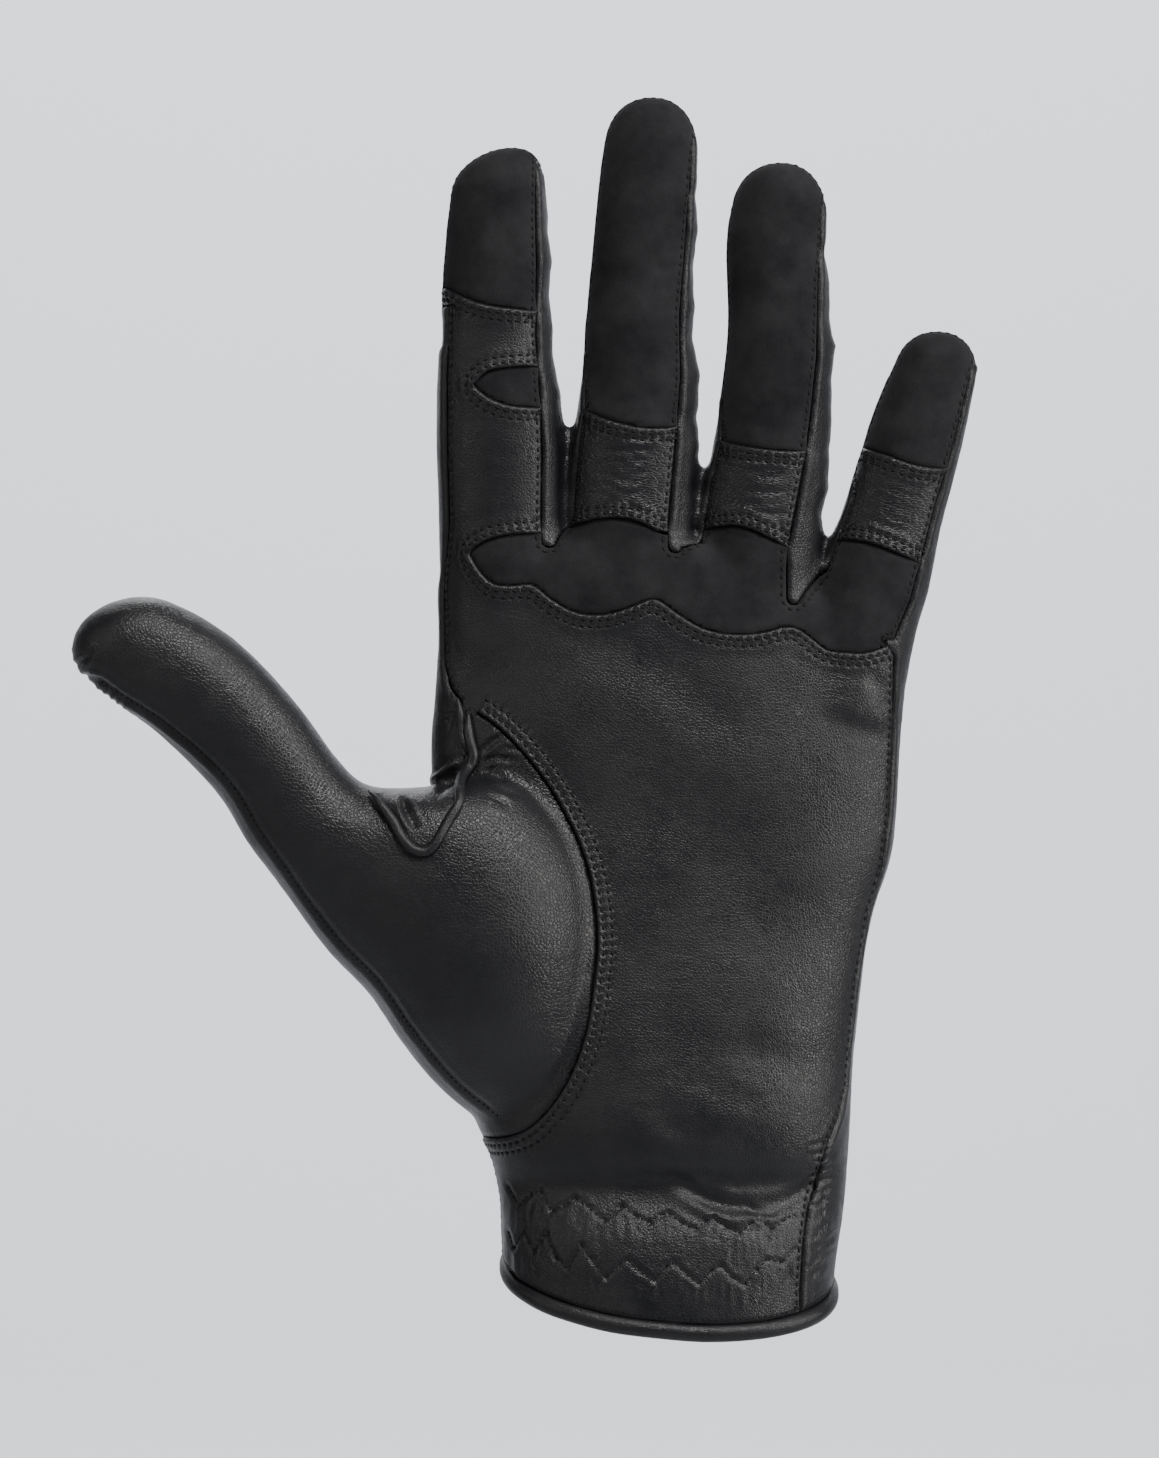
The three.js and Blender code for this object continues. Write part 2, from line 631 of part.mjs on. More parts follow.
// A finger's front panel: from its left side to its front seam, and down into the palm
function toothOutline(finger, i) {
  const above = 1.2;
  const leftAt = (share, beyond) =>
    onFinger(finger, share, shiftAt(finger, share) - widthAt(finger, share) / 2 - beyond);
  const foot = onFinger(finger, -0.2);
  const right = [frontSeam(finger, above), frontSeam(finger, 1), frontSeam(finger, 0.5), frontSeam(finger, 0)];
  const side = palmRows.at(-2);
  const rightFoot = crotchFeet[i]?.[0] ?? new THREE.Vector2((side.right - side.seam) * palmWidth, foot.y);
  if (i > 0) {
    const leftSeam = leftSeamRows.map((row) => leftAt(row.at, row.beyond));
    return [crotchFeet[i - 1].at(-1), ...leftSeam, leftAt(above, fingerClear), ...right, rightFoot, foot];
  }
  const backShows = [
    onPalm(palmLeftEdge.at(-1)),
    leftAt(0.02, -indexBackShows),
    leftAt(indexBackEdge, -indexBackShows),
    leftAt(indexBackEdge, outside),
    leftAt(above, outside),
  ];
  return [...backShows, ...right, rightFoot, foot];
}

function frontRegion(grow) {
  const outlines = [palmOutline, ...fingers.map(toothOutline)];
  return join(outlines.map((outline) => throughGlove(outline, grow))).intersect(frontHalf(grow));
}

// The gusset between two fingers: from axis to axis, over the crotch, up to just below each fingertip
function gussetRegion(i, grow) {
  const left = fingers[i];
  const right = fingers[i + 1];
  const foot = crotches[i].y - crotchCut;
  const between = (finger, share, side) => onFinger(finger, share, side * (finger.width / 2 + 2 * fingerClear));
  const upTo = (clear, width) => {
    const topOf = (finger) => 1 - clear / finger.length;
    const outline = [
      new THREE.Vector2(onFinger(left, 0).x, foot),
      onFinger(left, topOf(left)),
      between(left, topOf(left), 1),
      between(right, topOf(right), -1),
      onFinger(right, topOf(right)),
      new THREE.Vector2(onFinger(right, 0).x, foot),
    ];
    return throughGlove(outline, grow).intersect(frontHalf(width + grow));
  };
  return upTo(gussetTipClear, gussetTipWidth).add(upTo(gussetBackClear, gussetWidth));
}

// The part of a finger above a curved line across it
function aboveLine(finger, edge, grow) {
  const reach = finger.width / 2 + fingerClear;
  const ends = [-1, -0.4, 0.2, 1];
  const shares = [edge.left, (edge.left + 3 * edge.middle) / 4, edge.middle, edge.right];
  const line = new THREE.SplineCurve(ends.map((side, i) => onFinger(finger, shares[i], side * reach)));
  const outline = [
    ...line.getPoints(6),
    onFinger(finger, 1.3, reach),
    onFinger(finger, 1.3, -reach),
  ];
  return throughGlove(outline, grow);
}

// The hem's height at a place on the wrist
const wrist = palmRows[1];
function hemHeight(x, y) {
  const u = x / (wrist.right * palmWidth);
  const v = y / (wrist.front * palmDepth);
  return hemLift * u * u - hemSlope * u + hemTilt * v;
}
function belowHem() {
  const box = new THREE.BoxGeometry(palmWidth, 2 * palmDepth, palmLength, 8, 8, 1);
  const places = box.getAttribute("position");
  for (let i = 0; i < places.count; i++) {
    const top = places.getZ(i) > 0;
    places.setZ(i, top ? hemHeight(places.getX(i), places.getY(i)) : -farOut);
  }
  return solidOf(box);
}

// The wall, whole
const outerForms = [palmForm(0), ...fingers.map((f) => fingerForm(f, 0)), thumbForm(0)];
const innerForms = [
  palmForm(leatherWall),
  ...fingers.map((f) => fingerForm(f, leatherWall)),
  thumbForm(leatherWall),
];
const outer = join(outerForms);
let wall = outer.subtract(join(innerForms)).subtract(belowHem());

// Takes a region out of the wall and leaves a seam's clearance round it
const pieces = {};
function claim(name, region) {
  pieces[name] = mainBody(wall.intersect(region(0)));
  wall = wall.subtract(region(seamGap));
}
const webCurve = webOutline.map(onThumbFlat);
const outerMesh = new THREE.Mesh(geometryOf(outer));
const pipingPath = new THREE.CatmullRomCurve3(
  webCurve.slice(pipingFirst, pipingLast + 1).map((place) => {
    const ray = new THREE.Raycaster(point(place.x, -farOut, place.y), alongY);
    return ray.intersectObject(outerMesh)[0].point.addScaledVector(alongY, leatherWall / 3);
  }),
);
function cord(radius) {
  const circle = new THREE.Shape().absarc(0, 0, radius, 0, 2 * Math.PI);
  const geometry = new THREE.ExtrudeGeometry(circle, { steps: 16, curveSegments: 4, extrudePath: pipingPath });
  return solidOf(geometry);
}
pieces.thumb_web_piping = cord(pipingRadius);
wall = wall.subtract(cord(pipingRadius + seamGap));
claim("thumb_web_gusset", (grow) => throughGlove(webCurve, grow).intersect(frontHalf(grow)));
wall = wall.subtract(throughGlove(seamCutOutline, 0).intersect(thumbFrontHalf(0)));
claim("thumb_panel", (grow) => {
  const front = throughGlove(thumbFrontOutline, grow).intersect(frontHalf(grow));
  return front.add(throughGlove(thumbBackOutline, grow).subtract(frontHalf(-grow)));
});

// The front is set apart first, and what is left of the wall is the gussets and the back
let front = wall.intersect(frontRegion(0));
wall = wall.subtract(frontRegion(seamGap));
fingers.slice(1).forEach((finger, i) => {
  claim(`gusset_${fingers[i].name}_${finger.name}`, (grow) => gussetRegion(i, grow));
});
pieces.back_panel = mainBody(wall);

// The front is then divided into patches, bands and the palm panel
function claimFront(name, region) {
  pieces[name] = mainBody(front.intersect(region(0)));
  front = front.subtract(region(seamGap));
}
const gripOutline = [...gripTop, ...gripScallops].map(onPalm);
for (const finger of fingers)
  claimFront(`${finger.name}_tip_patch`, (grow) => aboveLine(finger, tipEdges[finger.name], grow));
claimFront("index_joint_patch", (grow) => throughGlove(eyeOutline.map(onPalm), grow));
claimFront("knuckle_grip_patch", (grow) => throughGlove(gripOutline, grow));
for (const finger of fingers.slice(1))
  claimFront(`${finger.name}_finger_band`, (grow) => aboveLine(finger, { left: 0, middle: 0, right: 0 }, grow));
pieces.palm_panel = mainBody(front);

// The rolled binding lies under the hem, all the way round
function bindingForm() {
  const drop = seamGap + bindingRadius;
  const loop = Array.from({ length: bindingSteps }, (_, i) => {
    const angle = (2 * Math.PI * i) / bindingSteps;
    const bend = (t) => Math.sign(t) * Math.abs(t) ** (2 / 2.5);
    const inside = leatherWall / 2;
    const x = bend(Math.cos(angle));
    const y = bend(Math.sin(angle));
    const px = x * ((x > 0 ? wrist.right : wrist.left) * palmWidth - inside);
    const py = y * (wrist.front * palmDepth - inside);
    return point(px, py, hemHeight(px, py) - drop);
  });
  const sides = bindingSides;
  const rings = loop.map((p, i) => {
    const ahead = loop[(i + 1) % loop.length].clone().sub(loop.at(i - 1)).normalize();
    const outwards = ahead.clone().cross(alongZ).normalize();
    const up = outwards.clone().cross(ahead).normalize();
    return Array.from({ length: sides }, (_, s) => {
      const angle = (2 * Math.PI * s) / sides;
      return p
        .clone()
        .addScaledVector(outwards, bindingRadius * Math.cos(angle))
        .addScaledVector(up, bindingRadius * Math.sin(angle));
    });
  });
  const positions = rings.flat();
  const faces = [];
  rings.forEach((_, r) => {
    const next = ((r + 1) % rings.length) * sides;
    for (let s = 0; s < sides; s++) {
      const t = (s + 1) % sides;
      faces.push(r * sides + s, next + t, r * sides + t, r * sides + s, next + s, next + t);
    }
  });
  return new THREE.BufferGeometry().setFromPoints(positions).setIndex(faces);
}

const leather = new THREE.MeshStandardMaterial({ color: 0x1c1c1f, roughness: 0.5, metalness: 0 });
const suede = new THREE.MeshStandardMaterial({ color: 0x151517, roughness: 0.95, metalness: 0 });
const piping = new THREE.MeshStandardMaterial({ color: 0x202024, roughness: 0.4, metalness: 0 });

const glove = new THREE.Group();
for (const [name, solid] of Object.entries(pieces)) {
  const mesh = new THREE.Mesh(geometryOf(solid), name.endsWith("_patch") ? suede : leather);
  mesh.name = name;
  glove.add(mesh);
}
const binding = new THREE.Mesh(bindingForm(), piping);
binding.name = "wrist_binding";
glove.add(binding);

export default glove;
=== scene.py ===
import math
import random
import time

import bmesh
import bpy
from mathutils import Matrix, Vector, noise
from mathutils.bvhtree import BVHTree
from mathutils.kdtree import KDTree


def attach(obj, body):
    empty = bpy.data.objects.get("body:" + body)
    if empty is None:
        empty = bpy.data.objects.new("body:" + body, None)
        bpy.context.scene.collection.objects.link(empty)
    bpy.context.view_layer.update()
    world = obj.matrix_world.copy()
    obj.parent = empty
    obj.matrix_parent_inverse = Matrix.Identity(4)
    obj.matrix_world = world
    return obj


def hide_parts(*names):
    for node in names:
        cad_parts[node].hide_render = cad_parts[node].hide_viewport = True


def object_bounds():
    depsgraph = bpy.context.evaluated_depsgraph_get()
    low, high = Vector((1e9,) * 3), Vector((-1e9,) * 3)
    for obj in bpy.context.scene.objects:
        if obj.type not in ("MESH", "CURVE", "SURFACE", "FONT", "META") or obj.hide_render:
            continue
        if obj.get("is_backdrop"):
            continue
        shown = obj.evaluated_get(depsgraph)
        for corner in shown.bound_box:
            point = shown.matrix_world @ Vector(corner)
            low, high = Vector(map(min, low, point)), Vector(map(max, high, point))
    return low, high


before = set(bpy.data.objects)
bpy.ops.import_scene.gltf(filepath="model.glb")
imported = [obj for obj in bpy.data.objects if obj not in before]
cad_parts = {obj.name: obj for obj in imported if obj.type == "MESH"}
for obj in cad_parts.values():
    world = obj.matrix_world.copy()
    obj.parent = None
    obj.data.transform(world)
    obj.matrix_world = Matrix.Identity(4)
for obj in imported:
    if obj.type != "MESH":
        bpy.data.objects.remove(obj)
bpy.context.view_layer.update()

mm = 0.001
scene = bpy.context.scene
rand = random.Random(12)
began = time.time()
photoScale = 0.172  # mm in one pixel of the 1159 by 1458 photo
photoFoot = (670, 1283)  # the pixel where the origin shows


def say(text):
    print(f"{time.time() - began:6.1f} s  {text}", flush=True)


def picked(*pixels):
    # places given in the photo, as x and z to a tenth of a millimetre
    across = [round((x - photoFoot[0]) * photoScale, 1) for x, y in pixels]
    height = [round((photoFoot[1] - y) * photoScale, 1) for x, y in pixels]
    return list(zip(across, height))


# leather and suede looks

def paint(name, base, wear, rough):
    mat = bpy.data.materials.new(name)
    mat.use_nodes = True
    tree = mat.node_tree
    shader = tree.nodes["Principled BSDF"]
    shader.inputs["Roughness"].default_value = rough
    place = tree.nodes.new("ShaderNodeTexCoord").outputs["Object"]
    mix = tree.nodes.new("ShaderNodeMix")
    mix.data_type = "RGBA"
    mix.inputs["A"].default_value = (*base, 1)
    mix.inputs["B"].default_value = (*wear, 1)
    tree.links.new(mix.outputs["Result"], shader.inputs["Base Color"])
    return mat, tree, shader, place, mix


def stretched(tree, place, scale):
    mapping = tree.nodes.new("ShaderNodeMapping")
    mapping.inputs["Scale"].default_value = scale
    tree.links.new(place, mapping.inputs["Vector"])
    return mapping.outputs["Vector"]


def cloud(tree, place, scale, detail, rough=0.5):
    node = tree.nodes.new("ShaderNodeTexNoise")
    node.inputs["Scale"].default_value = scale
    node.inputs["Detail"].default_value = detail
    node.inputs["Roughness"].default_value = rough
    tree.links.new(place, node.inputs["Vector"])
    return node.outputs["Fac"]


def remap(tree, value, low, high, toLow, toHigh):
    node = tree.nodes.new("ShaderNodeMapRange")
    for slot, number in zip(("From Min", "From Max", "To Min", "To Max"), (low, high, toLow, toHigh)):
        node.inputs[slot].default_value = number
    tree.links.new(value, node.inputs["Value"])
    return node.outputs["Result"]


def sums(tree, first, second, share):
    node = tree.nodes.new("ShaderNodeMath")
    node.operation = "MULTIPLY_ADD"
    tree.links.new(second, node.inputs[0])
    node.inputs[1].default_value = share
    tree.links.new(first, node.inputs[2])
    return node.outputs["Value"]


def product(tree, first, second):
    node = tree.nodes.new("ShaderNodeMath")
    node.operation = "MULTIPLY"
    tree.links.new(first, node.inputs[0])
    tree.links.new(second, node.inputs[1])
    return node.outputs["Value"]


def bumped(tree, shader, height, strength, distance):
    bump = tree.nodes.new("ShaderNodeBump")
    bump.inputs["Strength"].default_value = strength
    bump.inputs["Distance"].default_value = distance
    tree.links.new(height, bump.inputs["Height"])
    tree.links.new(bump.outputs["Normal"], shader.inputs["Normal"])


def leatherLook(name, pebble, depth, rough, stretch=(1, 1, 1)):
    mat, tree, shader, place, mix = paint(name, (0.008, 0.0085, 0.011), (0.0155, 0.016, 0.0185), rough)
    tree.links.new(remap(tree, cloud(tree, place, 60, 5, 0.6), 0.35, 0.7, 0, 1), mix.inputs["Factor"])
    grain = tree.nodes.new("ShaderNodeTexVoronoi")
    grain.feature = "DISTANCE_TO_EDGE"
    grain.inputs["Scale"].default_value = pebble
    grain.inputs["Randomness"].default_value = 0.9
    tree.links.new(stretched(tree, place, stretch), grain.inputs["Vector"])
    cells = remap(tree, grain.outputs["Distance"], 0, 0.22, 0, 1)
    height = sums(tree, cells, cloud(tree, place, 1500, 3, 0.6), 0.5)
    if name == "leather":  # fine puckers where the wrist is gathered
        split = tree.nodes.new("ShaderNodeSeparateXYZ")
        tree.links.new(place, split.inputs["Vector"])
        above = remap(tree, split.outputs["Z"], 0.001, 0.006, 0, 1)
        below = remap(tree, split.outputs["Z"], 0.0135, 0.017, 1, 0)
        puckers = cloud(tree, stretched(tree, place, (1, 0.6, 0.3)), 1000, 4, 0.6)
        height = sums(tree, height, product(tree, product(tree, above, below), puckers), 4.5)
    bumped(tree, shader, height, depth, 0.00022)
    tree.links.new(remap(tree, cloud(tree, place, 110, 4, 0.6), 0.3, 0.75, rough - 0.06, rough + 0.1),
                   shader.inputs["Roughness"])
    return mat


def suedeLook(name):
    mat, tree, shader, place, mix = paint(name, (0.0115, 0.0115, 0.0135), (0.032, 0.032, 0.035), 0.95)
    shader.inputs["Specular IOR Level"].default_value = 0.15
    shader.inputs["Sheen Weight"].default_value = 0.3
    shader.inputs["Sheen Roughness"].default_value = 0.45
    shader.inputs["Sheen Tint"].default_value = (0.18, 0.18, 0.2, 1)
    patches = cloud(tree, place, 130, 5, 0.65)
    nap = cloud(tree, place, 3200, 3, 0.7)
    tree.links.new(remap(tree, sums(tree, patches, nap, 0.25), 0.4, 0.85, 0, 1), mix.inputs["Factor"])
    bumped(tree, shader, sums(tree, nap, patches, 0.6), 0.5, 0.0002)
    return mat


def plainLook(name, base, rough):
    mat, tree, shader, place, mix = paint(name, base, [2 * v for v in base], rough)
    tree.links.new(remap(tree, cloud(tree, place, 220, 3), 0.35, 0.7, 0, 1), mix.inputs["Factor"])
    bumped(tree, shader, cloud(tree, place, 1800, 3), 0.25, 0.0001)
    return mat


looks = {
    "leather": leatherLook("leather", 1900, 0.26, 0.42),
    "pebbled": leatherLook("pebbledLeather", 1600, 0.28, 0.42),
    "creased": leatherLook("creasedLeather", 1700, 0.32, 0.41, (0.5, 1, 1.5)),
    "suede": suedeLook("suede"),
    "rolled": leatherLook("rolledTrim", 1900, 0.22, 0.44),
    "thread": plainLook("thread", (0.0018, 0.0018, 0.0022), 0.85),
}


# the worn form in millimetres: tables from the wrist up

def curve(rows, at, column):
    # smooth curve through one column of a table
    last = len(rows) - 1
    i = sum(1 for row in rows[1:last] if row[0] <= at)
    a, b = rows[i], rows[i + 1]
    span = b[0] - a[0]
    t = min(1.0, max(0.0, (at - a[0]) / span))

    def slope(k):
        low, high = rows[max(0, k - 1)], rows[min(last, k + 1)]
        return (high[column] - low[column]) / (high[0] - low[0]) * span

    t2, t3 = t * t, t * t * t
    return ((2 * t3 - 3 * t2 + 1) * a[column] + (t3 - 2 * t2 + t) * slope(i)
            + (3 * t2 - 2 * t3) * b[column] + (t3 - t2) * slope(i + 1))


def smoothLine(points, step):
    # evenly spaced points on a smooth curve through the given ones
    rows = [(0.0, *points[0])]
    for before, after in zip(points, points[1:]):
        rows.append((rows[-1][0] + math.dist(before, after), *after))
    count = max(2, round(rows[-1][0] / step))
    if len(rows) == 2:
        return [tuple(a + (b - a) * i / count for a, b in zip(*points)) for i in range(count + 1)]
    along = [rows[-1][0] * i / count for i in range(count + 1)]
    return [tuple(curve(rows, at, k + 1) for k in range(len(points[0]))) for at in along]


def middleY(z):
    share = max(0.0, (z - 114.4) / 89.55)
    return -5.5 * share * (0.6 + 0.4 * share)


def bend(t, square):
    return math.copysign(abs(t) ** (2 / square), t)


def tube(bm, sides, count, place):
    # one closed skin: a circle is extruded ring by ring, then every ring takes its section
    ring = bmesh.ops.create_circle(bm, cap_ends=True, segments=sides, radius=1)["verts"]
    every = list(ring)
    edges = list(dict.fromkeys(e for v in ring for e in v.link_edges))
    for step in range(1, count):
        grown = bmesh.ops.extrude_edge_only(bm, edges=edges)["geom"]
        ring = [g for g in grown if isinstance(g, bmesh.types.BMVert)]
        inRing = set(ring)
        edges = [g for g in grown if isinstance(g, bmesh.types.BMEdge) and set(g.verts) <= inRing]
        bmesh.ops.translate(bm, verts=ring, vec=(0, 0, 1))
        every += ring
    bmesh.ops.holes_fill(bm, edges=edges, sides=0)
    for v in every:
        v.co = Vector(place(round(v.co.z), math.atan2(v.co.y, v.co.x))) * mm
    return every


palm = {  # columns: height, left, right, front, back, arch
    "rows": [
        (-15.6, 28.6, 27.7, 20.5, 20.5, 0), (0, 28.6, 28.2, 20.5, 20.5, 0), (9.1, 28.8, 29.4, 19.4, 19.4, 0),
        (15, 29.2, 30.1, 17, 18.4, 0), (18.2, 29.8, 30.4, 16.5, 17.8, 0), (21.5, 30.6, 30.6, 18.9, 17.6, 0),
        (27.3, 33.2, 31.1, 19.7, 17, 0), (36.4, 35.2, 31.3, 18.9, 16.5, 0), (52, 36.8, 32.9, 17, 15.4, 0),
        (63.7, 38.6, 34.9, 15.4, 14.6, 0), (71.5, 39.7, 37.6, 14.6, 14, 0),
        (80.6, 40.4, 38.9, 13.8, 13.5, .1), (93.6, 41.1, 39.4, 13, 13.2, .3),
        (107.9, 40.4, 39.8, 11.6, 11.9, .6), (118.3, 39.7, 40.2, 10.5, 10.8, .85),
        (125.4, 39.7, 40.2, 9.3, 9.3, 1), (128.3, 39.7, 40.2, 7.6, 7.6, 1), (129.6, 39.7, 40.2, 4.3, 4.3, 1),
    ],
    "steps": [-15.6, *range(-12, 4, 4), *range(3, 31, 3), *range(34, 122, 4),
              121, 123.5, 125.4, 127, 128.3, 129, 129.6],
    "square": 2.5,
}


def knuckleDrop(x):
    # the knuckle line falls away to both sides of the middle finger
    return 8.6 * ((x / 80 + 0.1125) / 0.38) ** 2


def palmPlace(step, turn):
    height = palm["steps"][step]
    left, right, front, back, arch = (curve(palm["rows"], height, c) for c in range(1, 6))
    x = bend(math.cos(turn), palm["square"])
    y = bend(math.sin(turn), palm["square"])
    x *= right if x > 0 else left
    y *= back if y > 0 else front
    z = height - arch * knuckleDrop(x)
    return x, y + middleY(z), z


fingers = {  # sizes in mm, lean in degrees; rows: share of the length, then width and shift as shares
    "index": {
        "root": (-28.6, 129.35), "lean": 0, "length": 65.9, "width": 21.3, "tip": 16.6, "tipShift": 1.6,
        "seam": (.62, .82), "tipEdge": (.64, .574, .567),
        "rows": [(-.35, .98, .01), (0, 1, 0), (.27, 1.005, -.02), (.38, .965, -.04), (.51, .9, -.055),
                 (.64, .875, -.058), (.76, .85, -.045)],
    },
    "middle": {
        "root": (-6.72, 129.35), "lean": 3.3, "length": 74.6, "width": 22.4, "tip": 16.5, "tipShift": -.2,
        "seam": (.57, .93), "tipEdge": (.285, .236, .256),
        "rows": [(-.3, 1, 0), (0, 1, 0), (.2, .965, -.003), (.37, .893, .005), (.47, .835, -.02),
                 (.6, .79, -.025), (.76, .77, -.02)],
    },
    "ring": {
        "root": (15, 125.58), "lean": 3.6, "length": 67.2, "width": 21.8, "tip": 16.6, "tipShift": .2,
        "seam": (.46, .96), "tipEdge": (.294, .262, .268),
        "rows": [(-.34, 1, 0), (0, 1, 0), (.12, .99, .015), (.26, .94, .062), (.37, .89, .067),
                 (.5, .852, .07), (.62, .82, .045), (.78, .798, 0)],
    },
    "little": {
        "root": (34.4, 119.47), "lean": 16.6, "length": 46.2, "width": 18.9, "tip": 14.4, "tipShift": .3,
        "seam": (.74, .86), "tipEdge": (.495, .485, .525),
        "rows": [(-.48, 1.24, 0), (-.15, 1.03, .005), (.06, 1, .01), (.3, .91, 0), (.54, .885, 0),
                 (.68, .84, 0)],
    },
}
roundness = 2.15  # 2 is a true oval
domeStep = 8.6  # degrees between the rings of a fingertip
for finger in fingers.values():
    domeAt = 1 - finger["tip"] / 2 / finger["length"]
    finger["rows"].append((domeAt, finger["tip"] / finger["width"], finger["rows"][-1][2]))


def onFinger(finger, share, side=0.0):
    lean = math.radians(finger["lean"])
    along = share * finger["length"]
    return (finger["root"][0] + along * math.sin(lean) + side * math.cos(lean),
            finger["root"][1] + along * math.cos(lean) - side * math.sin(lean))


def fingerTube(bm, finger, sides=40):
    rows = finger["rows"]
    radius = finger["tip"] / 2
    shift = rows[-1][2] * finger["width"]
    first, last = rows[0][0], rows[-1][0]
    count = round((last - first) * finger["length"] / 2)
    rings = []
    for i in range(count + 1):
        share = first + (last - first) * i / count
        wide, aside = (curve(rows, share, column) * finger["width"] for column in (1, 2))
        rings.append((share, wide / 2, aside))
    for i in range(1, 11):
        angle = math.radians(domeStep * i)
        share = 1 - radius * (1 - math.sin(angle)) / finger["length"]
        aside = shift + (finger["tipShift"] - shift) * math.sin(angle) ** 2
        rings.append((share, radius * math.cos(angle), aside))
    lean = math.radians(finger["lean"])

    def place(step, turn):
        share, half, side = rings[step]
        x, z = onFinger(finger, share, side)
        across = half * bend(math.cos(turn), roundness)
        depth = half * 0.86 * bend(math.sin(turn), roundness)
        return x + across * math.cos(lean), middleY(z) + depth, z - across * math.sin(lean)

    tube(bm, sides, len(rings), place)


thumb = {  # rows: along, across, width, depth, forward, seam as shares of the sizes below, in mm
    "length": 117, "thick": 20.6, "forward": 14,
    "axis": (-.6921, .7218), "across": (.7218, .6921), "root": (-18.88, 29.25),
    "rows": [
        (0, .1, .7, 1.2, .02, .8), (.06, .16, 1.3, 1.5, .1, .82), (.145, .37, 1.9, 1.75, .25, .84),
        (.23, .53, 2.14, 1.78, .4, .86), (.325, .64, 2.18, 1.66, .52, .87), (.41, .58, 2.06, 1.44, .64, .86),
        (.48, .35, 1.5, 1.22, .74, .82), (.54, .2, 1.1, 1.08, .82, .74), (.6, .21, 1.03, 1, .88, .7),
        (.69, .3, .985, .95, .95, .7), (.81, .295, 1, .92, 1, .78), (.885, .215, .99, .88, 1, .84),
        (.925, .16, .92, .84, 1, .9),
    ],
}


def onThumb(along, across):
    reach = along * thumb["length"]
    return tuple(thumb["root"][k] + reach * thumb["axis"][k] + across * thumb["across"][k] for k in (0, 1))


def thumbTube(bm, sides=48):
    rows, thick = thumb["rows"], thumb["thick"]
    rings = []
    for i in range(47):
        at = rows[-1][0] * i / 46
        across, width, depth, forward = (curve(rows, at, c) for c in range(1, 5))
        rings.append((at, across * thick, width * thick / 2, depth * thick / 2, -thumb["forward"] * forward))
    at, across, half, depth, forward = rings[-1]
    radius = (1 - at) * thumb["length"]
    for i in range(1, 11):
        angle = math.radians(domeStep * i)
        beyond = at + radius * math.sin(angle) / thumb["length"]
        rings.append((beyond, across - 0.14 * thick * math.sin(angle),
                      half * math.cos(angle), depth * math.cos(angle), forward))

    def place(step, turn):
        at, across, half, depth, forward = rings[step]
        x, z = onThumb(at, across + half * bend(math.cos(turn), roundness))
        return x, forward + depth * bend(math.sin(turn), roundness), z

    tube(bm, sides, len(rings), place)


def meshFrom(bm, name):
    mesh = bpy.data.meshes.new(name)
    bm.to_mesh(mesh)
    bm.free()
    return mesh


def smooth(bm, factor, turns):
    for turn in range(turns):
        bmesh.ops.smooth_vert(bm, verts=bm.verts, factor=factor,
                              use_axis_x=True, use_axis_y=True, use_axis_z=True)


def divide(bm, edges):
    bmesh.ops.subdivide_edges(bm, edges=edges, cuts=1, use_grid_fill=True)
    bmesh.ops.triangulate(bm, faces=[f for f in bm.faces if len(f.verts) > 4])


def finished(mesh, kind, **settings):
    # a modifier worked into a mesh
    obj = bpy.data.objects.new("work", mesh)
    scene.collection.objects.link(obj)
    modifier = obj.modifiers.new("work", kind)
    for name, value in settings.items():
        setattr(modifier, name, value)
    graph = bpy.context.evaluated_depsgraph_get()
    result = bpy.data.meshes.new_from_object(obj.evaluated_get(graph), depsgraph=graph)
    bpy.data.objects.remove(obj)
    return result


bm = bmesh.new()
tube(bm, 96, len(palm["steps"]), palmPlace)
for finger in fingers.values():
    fingerTube(bm, finger)
thumbTube(bm)
bmesh.ops.recalc_face_normals(bm, faces=bm.faces)
whole = finished(meshFrom(bm, "forms"), "REMESH", mode="VOXEL", voxel_size=0.85 * mm)
bm = bmesh.new()
bm.from_mesh(whole)
smooth(bm, 0.5, 7)
smallFolds = [  # places on the palm side with small folds: x and z from, to, in mm
    (-31, -8, 31, 29), (-56, 66, -24, 100), (-104, 86, -78, 122), (-18, 128, 5, 153), (5, 124, 28, 147),
    (30, 118, 56, 148), (-6, 18, 32, 44), (28, 90, 44, 112),
]


def inSmallFolds(face):
    x, z = face.verts[0].co.x / mm, face.verts[0].co.z / mm
    return face.normal.y < 0.5 and any(x0 < x < x1 and z0 < z < z1 for x0, z0, x1, z1 in smallFolds)


folded = set(filter(inSmallFolds, bm.faces))
divide(bm, [e for e in bm.edges if any(f in folded for f in e.link_faces)])
smooth(bm, 0.5, 1)
say(f"form with {len(bm.faces)} faces")


# folds, gathers and dents pressed into the whole form before it is cut up

